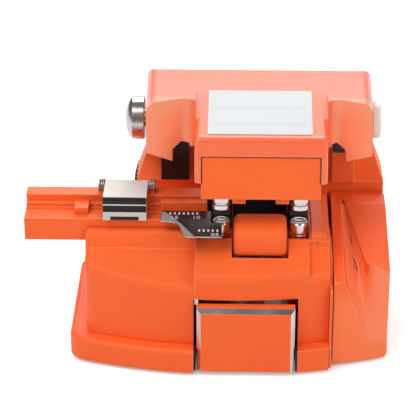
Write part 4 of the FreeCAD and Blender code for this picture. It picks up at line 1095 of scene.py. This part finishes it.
@dataclass
class HingeKnobs:
    """The domed collar on the left end of the shaft and the seamed cap on its right end."""

    sides: int = 64
    socket_bands: int = 2
    collar: tuple[Pair, ...] = (
        (0.0, 26.55), (4.7, 26.55), (4.92, 26.75), (4.92, 29.3), (4.75, 29.55), (4.2, 30.1), (3.4, 30.5),
        (2.4, 30.8), (1.3, 31.0), (0.75, 31.06), (0.6, 30.75), (0.0, 30.75),
    )
    cap: tuple[Pair, ...] = (
        (0.0, 25.62), (4.15, 25.62), (4.24, 25.7), (4.24, 26.0), (4.14, 26.08), (4.24, 26.16),
        (4.24, 27.15), (4.15, 27.33), (3.95, 27.44), (3.6, 27.48), (0.0, 27.48),
    )

    def build(self, paints: Paintbox) -> list[Piece]:
        """Turn both ends, the collar with a socket in its middle in painted shade.

        Args:
            paints: the finishes.

        Returns:
            Both ends.
        """
        made = []
        for node, outline, side, coats, dark in (
            ("hinge_collar", self.collar, -1.0, (Coat.NICKEL, Coat.SHADED), self.socket_bands),
            ("hinge_cap", self.cap, 1.0, (Coat.PEARL,), 0),
        ):
            work = bmesh.new()
            zones = [0] * (len(outline) - 1 - dark) + [1] * dark
            lathe(work, outline, ON_LID @ Matrix.Rotation(side * math.pi / 2, 4, "Y"), zones, self.sides)
            turned = put_solid(f"turned_{node}", work, *(paints.take(coat) for coat in coats))
            piece = smooth(turned, 30.0)
            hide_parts(node)
            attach(piece, "lid")
            made.append(piece)
        return made


@dataclass
class ClampSheet:
    """The bent clamp plate: pale top, grooved bend in painted shade with one pale step, light band and
    slotted foot.

    In its lists, the third number is 1 where the side that follows is painted in shade.
    """

    left: float = -34.8
    right: float = -25.2
    top: float = 36.4
    front: float = -12.1
    heel: tuple[tuple[float, float, int], ...] = (
        (-2.85, 35.2, 0), (-3.1, 35.95, 0), (-3.6, 36.32, 0), (-4.2, 36.4, 0),
    )
    bend_reach: Pair = (1.38, 3.2)
    bend_steps: int = 15
    groove: float = 0.12
    light_step: int = 9
    underside: tuple[tuple[float, float, int], ...] = (
        (-13.5, 33.05, 0), (-13.5, 32.2, 0), (-13.3, 32.1, 1), (-13.3, 31.25, 1), (-12.6, 31.25, 1),
        (-12.6, 32.0, 1), (-11.4, 32.0, 1), (-11.75, 35.5, 1), (-5.2, 35.5, 1), (-4.6, 34.3, 1),
        (-3.6, 34.1, 0),
    )
    toes: tuple[Pair, ...] = ((-34.8, -33.2), (-26.9, -25.2))
    toe_low: Pair = (-13.5, 31.25)
    toe_high: Pair = (-13.28, 32.15)

    def bend(self) -> list[tuple[float, float, int]]:
        """Return the grooved bend, from the top's front edge down to the foot."""
        spots = []
        for step in range(1, self.bend_steps + 1):
            inset = self.groove if step % 2 else 0.0
            angle = math.radians(90.0 * step / self.bend_steps)
            spots.append((self.front - (self.bend_reach[0] - inset) * math.sin(angle),
                          self.top - inset - (self.bend_reach[1] - inset) * (1.0 - math.cos(angle)),
                          0 if step in (self.light_step, self.bend_steps) else 1))
        return spots

    def build(self, paints: Paintbox) -> Piece:
        """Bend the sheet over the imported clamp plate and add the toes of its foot.

        Args:
            paints: the finishes.

        Returns:
            The sheet.
        """
        spots = [*self.heel, (self.front, self.top, 0), *self.bend(), *self.underside]
        outline = [metres(self.left, y, z) for y, z, _ in spots]
        zones = [zone for _, _, zone in spots]
        work = bmesh.new()
        add_prism(work, outline, Vector(((self.right - self.left) * MM, 0.0, 0.0)), zones)
        for left, right in self.toes:
            add_block(work, metres(left, *self.toe_low), metres(right, *self.toe_high))
        piece = put_solid("clamp_sheet", work, paints.take(Coat.CREAM), paints.take(Coat.SHADED))
        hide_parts("clamp_plate")
        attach(piece, "clamp")
        return piece


# ---------------------------------------------------------------- thumbwheel, bin and small fittings


@dataclass
class Thumbwheel:
    """The ribbed black thumbwheel behind the left side."""

    ribs: int = 60
    rib_steps: int = 4
    tip: float = 10.6
    root: float = 10.05
    hub: float = 7.4
    back: float = 26.28
    front: float = 22.34
    chamfer: float = 0.35
    sunk: float = 0.6

    def build(self, paints: Paintbox) -> Piece:
        """Cut the ribs round the wheel's rim and sink its rear face.

        Args:
            paints: the finishes.

        Returns:
            The wheel.
        """
        low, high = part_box("dial_wheel")
        middle = Vector(((low.x + high.x) / 2, 0.0, (low.z + high.z) / 2))
        count = self.ribs * self.rib_steps
        angles = [2.0 * math.pi * step / count for step in range(count)]
        rim = [self.tip if step % self.rib_steps < 2 else self.root for step in range(count)]
        chamfered = [radius - self.chamfer for radius in rim]
        face = [self.hub] * count
        work = bmesh.new()
        rings = []
        for radii, depth in (
            (face, self.front), (chamfered, self.front), (rim, self.front + self.chamfer),
            (rim, self.back - self.chamfer), (chamfered, self.back), (face, self.back - self.sunk),
        ):
            spots = [metres(radius * math.cos(angle), depth, radius * math.sin(angle))
                     for radius, angle in zip(radii, angles)]
            rings.append([work.verts.new(middle + Vector(spot)) for spot in spots])
        for first, second in zip(rings, rings[1:]):
            bridge(work, first, second)
        work.faces.new(rings[0])
        work.faces.new(rings[-1])
        wheel = put_solid("thumbwheel", work, paints.take(Coat.BLACK))
        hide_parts("dial_wheel")
        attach(wheel, "dial")
        return wheel


@dataclass
class BinScoop:
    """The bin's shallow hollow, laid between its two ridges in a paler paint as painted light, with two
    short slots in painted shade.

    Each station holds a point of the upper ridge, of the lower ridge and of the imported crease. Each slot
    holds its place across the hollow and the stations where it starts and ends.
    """

    stations: tuple[tuple[Point, Point, Point], ...] = (
        ((19.45, 2.2, 27.97), (18.50, 2.2, 27.97), (19.1, 2.9, 27.3)),
        ((20.55, -2.0, 26.93), (18.45, -12.0, 24.33), (20.4, -1.2, 22.8)),
        ((21.95, -8.5, 25.24), (18.45, -23.05, 21.35), (21.8, -7.8, 17.2)),
        ((23.35, -15.0, 23.55), (20.75, -22.40, 15.3), (23.2, -14.6, 11.4)),
        ((24.3, -17.4, 22.98), (23.15, -21.70, 8.9), (24.25, -16.8, 7.8)),
        ((25.15, -17.98, 22.85), (24.2, -21.36, 6.1), (25.0, -17.4, 5.4)),
        ((26.4, -18.26, 22.74), (25.15, -21.05, 3.47), (25.7, -17.8, 3.45)),
        ((28.72, -18.26, 22.0), (28.72, -19.2, 3.47), (28.72, -17.9, 3.45)),
    )
    deep: float = 0.7
    along_steps: int = 4
    across_steps: int = 12
    slots: tuple[Point, ...] = ((0.36, 1.30, 1.62), (0.42, 2.05, 2.5))
    slot_half: float = 0.018
    slot_proud: float = 0.06
    slot_thick: float = 0.4

    def station(self, along: float) -> list[Vector]:
        """Return the upper, lower and crease points at a station, given with its fraction."""
        index = min(int(along), len(self.stations) - 2)
        return [Vector(first).lerp(Vector(second), along - index)
                for first, second in zip(self.stations[index], self.stations[index + 1])]

    def place(self, across: float, along: float) -> Vector:
        """Return a point of the hollow.

        Args:
            across: 0 on the upper ridge, 1 on the lower one.
            along: the station, with its fraction.

        Returns:
            The point, in millimetres.
        """
        upper, lower, crease = self.station(along)
        pull = ((upper + lower) / 2).lerp(crease, self.deep)
        return upper * (1 - across) ** 2 + pull * 2 * across * (1 - across) + lower * across ** 2

    def make_hollow(self, paints: Paintbox) -> Piece:
        """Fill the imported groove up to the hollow, as rings from the back to the right side.

        Args:
            paints: the finishes.

        Returns:
            The hollow.
        """
        work = bmesh.new()
        rings = []
        for step in range(self.along_steps * (len(self.stations) - 1) + 1):
            along = step / self.along_steps
            spots = [self.place(part / self.across_steps, along) for part in range(self.across_steps + 1)]
            rings.append([work.verts.new(spot * MM) for spot in [*spots, self.station(along)[2]]])
        for first, second in zip(rings, rings[1:]):
            bridge(work, first, second)
        work.faces.new(rings[0])
        work.faces.new(rings[-1])
        # The hollow takes the paler paint: painted light.
        return smooth(put_solid("bin_hollow_face", work, paints.take(Coat.SCOOP_HIGHLIGHT)), 50.0)

    def make_slots(self, paints: Paintbox) -> Piece:
        """Lay each slot as a thin slat in painted shade just above the hollow.

        Args:
            paints: the finishes.

        Returns:
            The slots.
        """
        work = bmesh.new()
        for across, start, end in self.slots:
            middle = (start + end) / 2
            inward = (self.station(middle)[2] - self.place(across, middle)).normalized()
            upper_edge, lower_edge = across - self.slot_half, across + self.slot_half
            corners = [self.place(upper_edge, start), self.place(lower_edge, start),
                       self.place(lower_edge, end), self.place(upper_edge, end)]
            outline = [(corner - inward * self.slot_proud) * MM for corner in corners]
            add_prism(work, outline, inward * self.slot_thick * MM)
        return put_solid("bin_slots", work, paints.take(Coat.SLOT_SHADE))

    def build(self, paints: Paintbox) -> list[Piece]:
        """Make the hollow and its slots, which ride the bin.

        Args:
            paints: the finishes.

        Returns:
            Both pieces.
        """
        made = [self.make_hollow(paints), self.make_slots(paints)]
        for piece in made:
            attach(piece, "bin")
        return made


@dataclass
class SmallTrim:
    """Black sheets of painted shade, the bay's filler, a black painted shadow line round the panel, the
    recess stop and two ear springs.
    """

    # Thin black sheets in the well, at the foot of the bay and on the right hinge upright: painted shade.
    shade_lining: tuple[tuple[Point, Point], ...] = (
        ((-13.6, 4.78, 20.05), (-6.35, 4.95, 27.9)),
        ((6.35, 4.78, 20.05), (10.7, 4.95, 27.9)),
        ((-6.2, 8.4, 17.2), (6.2, 8.55, 27.9)),
        ((-14.45, -27.2, 0.9), (-14.0, -12.0, 6.2)),
        ((8.0, -27.2, 0.9), (8.45, -12.0, 6.2)),
        ((16.5, 7.65, 38.2), (20.0, 7.95, 43.5)),
    )
    filler_left: float = 15.45
    filler_width: float = 0.6
    filler: tuple[Pair, ...] = (
        (-25.4, 0.9), (-25.4, 5.9), (-24.7, 6.4), (-24.7, 19.6), (-15.5, 24.7), (-12.0, 25.0), (-4.0, 25.0),
        (-4.0, 0.9),
    )
    # A thin black strip along the panel's top and sides: a painted shadow line.
    shadow_line: tuple[tuple[Point, Point], ...] = (
        ((-12.96, -29.86, 0.12), (12.96, -29.72, 0.38)),
        ((-12.96, -29.86, -5.7), (-12.74, -29.72, 0.12)),
        ((12.74, -29.86, -5.7), (12.96, -29.72, 0.12)),
    )
    stop: tuple[tuple[Point, Point], ...] = (((-14.25, -25.6, 16.95), (-13.45, -24.4, 18.0)),)
    ears: tuple[tuple[str, float], ...] = (("left", -36.2), ("right", -24.85))
    ear_axis: Pair = (-4.0, 35.2)
    ear_turns: float = 3.0
    ear_radius: float = 1.36
    ear_length: float = 1.3
    ear_wire: float = 0.2

    def make_blocks(self, name: str, blocks: Sequence[tuple[Point, Point]], frame: Matrix,
                    material: Material) -> Piece:
        """Make one piece of closed boxes.

        Args:
            name: the piece's name.
            blocks: the lowest and the highest corner of each box.
            frame: where the boxes stand.
            material: their material.

        Returns:
            The piece.
        """
        work = bmesh.new()
        for low, high in blocks:
            for corner in add_block(work, metres(*low), metres(*high)):
                corner.co = frame @ corner.co
        return put_solid(name, work, material)

    def make_filler(self, paints: Paintbox) -> Piece:
        """Make the painted strip beside the bin.

        Args:
            paints: the finishes.

        Returns:
            The strip.
        """
        work = bmesh.new()
        outline = [metres(self.filler_left, *spot) for spot in self.filler]
        add_prism(work, outline, Vector((self.filler_width * MM, 0.0, 0.0)))
        return put_solid("bay_filler", work, paints.take(Coat.ORANGE))

    def build(self, paints: Paintbox) -> list[Piece]:
        """Make the fittings.

        Args:
            paints: the finishes.

        Returns:
            Every fitting.
        """
        on_body = Matrix.Identity(4)
        # Painted shade in gaps and wells, in black.
        shade_lining = self.make_blocks("well_shade_lining", self.shade_lining, on_body, paints.take(Coat.BLACK))
        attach(shade_lining, "body")
        filler = self.make_filler(paints)
        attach(filler, "body")
        # The black strip round the panel is a painted shadow line.
        shadow_line = self.make_blocks("panel_shadow_line", self.shadow_line, ON_LID, paints.take(Coat.BLACK))
        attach(shadow_line, "lid")
        stop = self.make_blocks("recess_stop", self.stop, on_body, paints.take(Coat.LABEL))
        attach(stop, "body")
        made = [shade_lining, filler, shadow_line, stop]
        for side, start in self.ears:
            spring = smooth(make_coil().grow(f"ear_spring_{side}", {
                "Place": metres(start, *self.ear_axis), "Turns": self.ear_turns,
                "Radius": self.ear_radius * MM, "Length": self.ear_length * MM, "Wire": self.ear_wire * MM,
                "Material": paints.take(Coat.STEEL),
            }))
            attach(spring, "holder")
            made.append(spring)
        return made


# ---------------------------------------------------------------- stage, light and camera


@dataclass(frozen=True)
class Lamp:
    """One soft square lamp, in metres and watts."""

    name: str
    place: Point
    aim: Point
    size: float
    power: float

    def build(self) -> None:
        """Put the lamp in its place and aim it."""
        data = bpy.data.lights.new(self.name, "AREA")
        data.shape = "SQUARE"
        data.size = self.size
        data.energy = self.power
        lamp = put(self.name, data)
        lamp.location = self.place
        lamp.rotation_mode = "QUATERNION"
        lamp.rotation_quaternion = (Vector(self.aim) - Vector(self.place)).to_track_quat("-Z", "Y")


@dataclass
class Studio:
    """Pale floor, soft lamps and the camera, in metres.

    The camera's focal length, and its aim to the right of and above the pitched line, are in frame widths.
    """

    eye: Point = (-0.0034, -0.3917, 0.2300)
    pitch: float = 30.0
    focal: float = 4.639423
    aim: Pair = (-0.088942, 0.216346)
    sensor: float = 36.0
    clip: Pair = (0.01, 20.0)
    glow: float = 0.42
    mirrored_glow: float = 0.16
    floor_half: float = 3.0
    floor_colour: Colour = (0.86, 0.86, 0.86)
    floor_lift: float = 0.34
    lamps: tuple[Lamp, ...] = (
        Lamp("key", (-0.30, -0.25, 0.60), (0.0, 0.0, 0.02), 0.45, 2.4),
        Lamp("fill", (0.50, -0.35, 0.45), (0.0, 0.0, 0.02), 0.40, 1.6),
        Lamp("back", (0.0, 0.60, 0.50), (0.0, 0.0, 0.03), 0.60, 4.0),
    )

    def make_camera(self) -> None:
        """Aim the camera at the middle of the frame, without a shift."""
        tilt = math.radians(self.pitch)
        right = Vector((1.0, 0.0, 0.0))
        up = Vector((0.0, math.sin(tilt), math.cos(tilt)))
        ahead = Vector((0.0, math.cos(tilt), -math.sin(tilt)))
        sight = ahead * self.focal + right * self.aim[0] + up * self.aim[1]
        data = bpy.data.cameras.new("camera")
        data.sensor_width = self.sensor
        data.lens = sight.length * self.sensor
        data.clip_start, data.clip_end = self.clip
        camera = put("camera", data)
        camera.location = self.eye
        camera.rotation_mode = "QUATERNION"
        camera.rotation_quaternion = sight.to_track_quat("-Z", "Y")
        bpy.context.scene.camera = camera

    def make_world(self) -> None:
        """Light the scene evenly and show a pale ground behind it."""
        world = bpy.data.worlds.new("studio")
        bpy.context.scene.world = world
        world.use_nodes = True
        wiring = Wiring(world.node_tree)
        wiring.tree.nodes.clear()
        mirrored = wiring.out("Is Glossy Ray", "ShaderNodeLightPath")
        level = wiring.ramp(mirrored, (0.0, 1.0), (self.glow, self.mirrored_glow))
        light = {"Color": opaque((1.0, 1.0, 1.0)), "Strength": level}
        soft = wiring.out("Background", "ShaderNodeBackground", light)
        ground = wiring.out("Background", "ShaderNodeBackground", {"Strength": 1.0})
        rays = [wiring.out(ray, "ShaderNodeLightPath") for ray in ("Is Camera Ray", "Is Transmission Ray")]
        seen = wiring.calculate("MAXIMUM", *rays)
        surface = wiring.out("Shader", "ShaderNodeMixShader", {"Fac": seen, 1: soft, 2: ground})
        wiring.feed(wiring.tree.nodes.new("ShaderNodeOutputWorld"), {"Surface": surface})

    def make_floor(self) -> None:
        """Lay a pale floor that keeps the tool's shadow."""
        material = bpy.data.materials.new("floor")
        material.use_nodes = True
        wiring = Wiring(material.node_tree)
        wiring.tree.nodes.clear()
        matt = wiring.out("BSDF", "ShaderNodeBsdfDiffuse", {"Color": opaque(self.floor_colour)})
        seen = wiring.out("Is Camera Ray", "ShaderNodeLightPath")
        level = wiring.calculate("MULTIPLY", seen, self.floor_lift)
        lift = wiring.out("Emission", "ShaderNodeEmission", {"Strength": level})
        surface = wiring.out("Shader", "ShaderNodeAddShader", {0: matt, 1: lift})
        wiring.feed(wiring.tree.nodes.new("ShaderNodeOutputMaterial"), {"Surface": surface})
        work = bmesh.new()
        half = self.floor_half
        spots = ((-half, -half), (half, -half), (half, half), (-half, half))
        work.faces.new([work.verts.new((*spot, 0.0)) for spot in spots])
        put_solid("floor", work, material)

    def build(self) -> None:
        """Set up the whole studio."""
        bpy.context.scene.view_settings.view_transform = "Standard"
        self.make_camera()
        self.make_world()
        self.make_floor()
        for lamp in self.lamps:
            lamp.build()


# ---------------------------------------------------------------- making


def main() -> None:
    """Load the frame, build every sub-assembly and finish."""
    logging.basicConfig(level=logging.INFO)
    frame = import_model()
    Studio().build()
    paints = Paintbox()
    Body(frame["record"], frame["nodes"]).dress(paints)
    nodes = frame["nodes"]
    for piece in (
        PushPlate().build(paints),
        ScaleSheet().build(paints),
        ScaleMarks().build(paints),
        LabelRules().build(nodes["label_plate"], paints),
        LidSpring().build(paints),
        ClampSheet().build(paints),
        *Posts().build(paints),
        *HingeKnobs().build(paints),
        GuardShell().build(paints),
        *BinScoop().build(paints),
        Thumbwheel().build(paints),
        *SmallTrim().build(paints),
    ):
        LOG.info("made %s", piece.name)


if __name__ == "__main__":
    main()
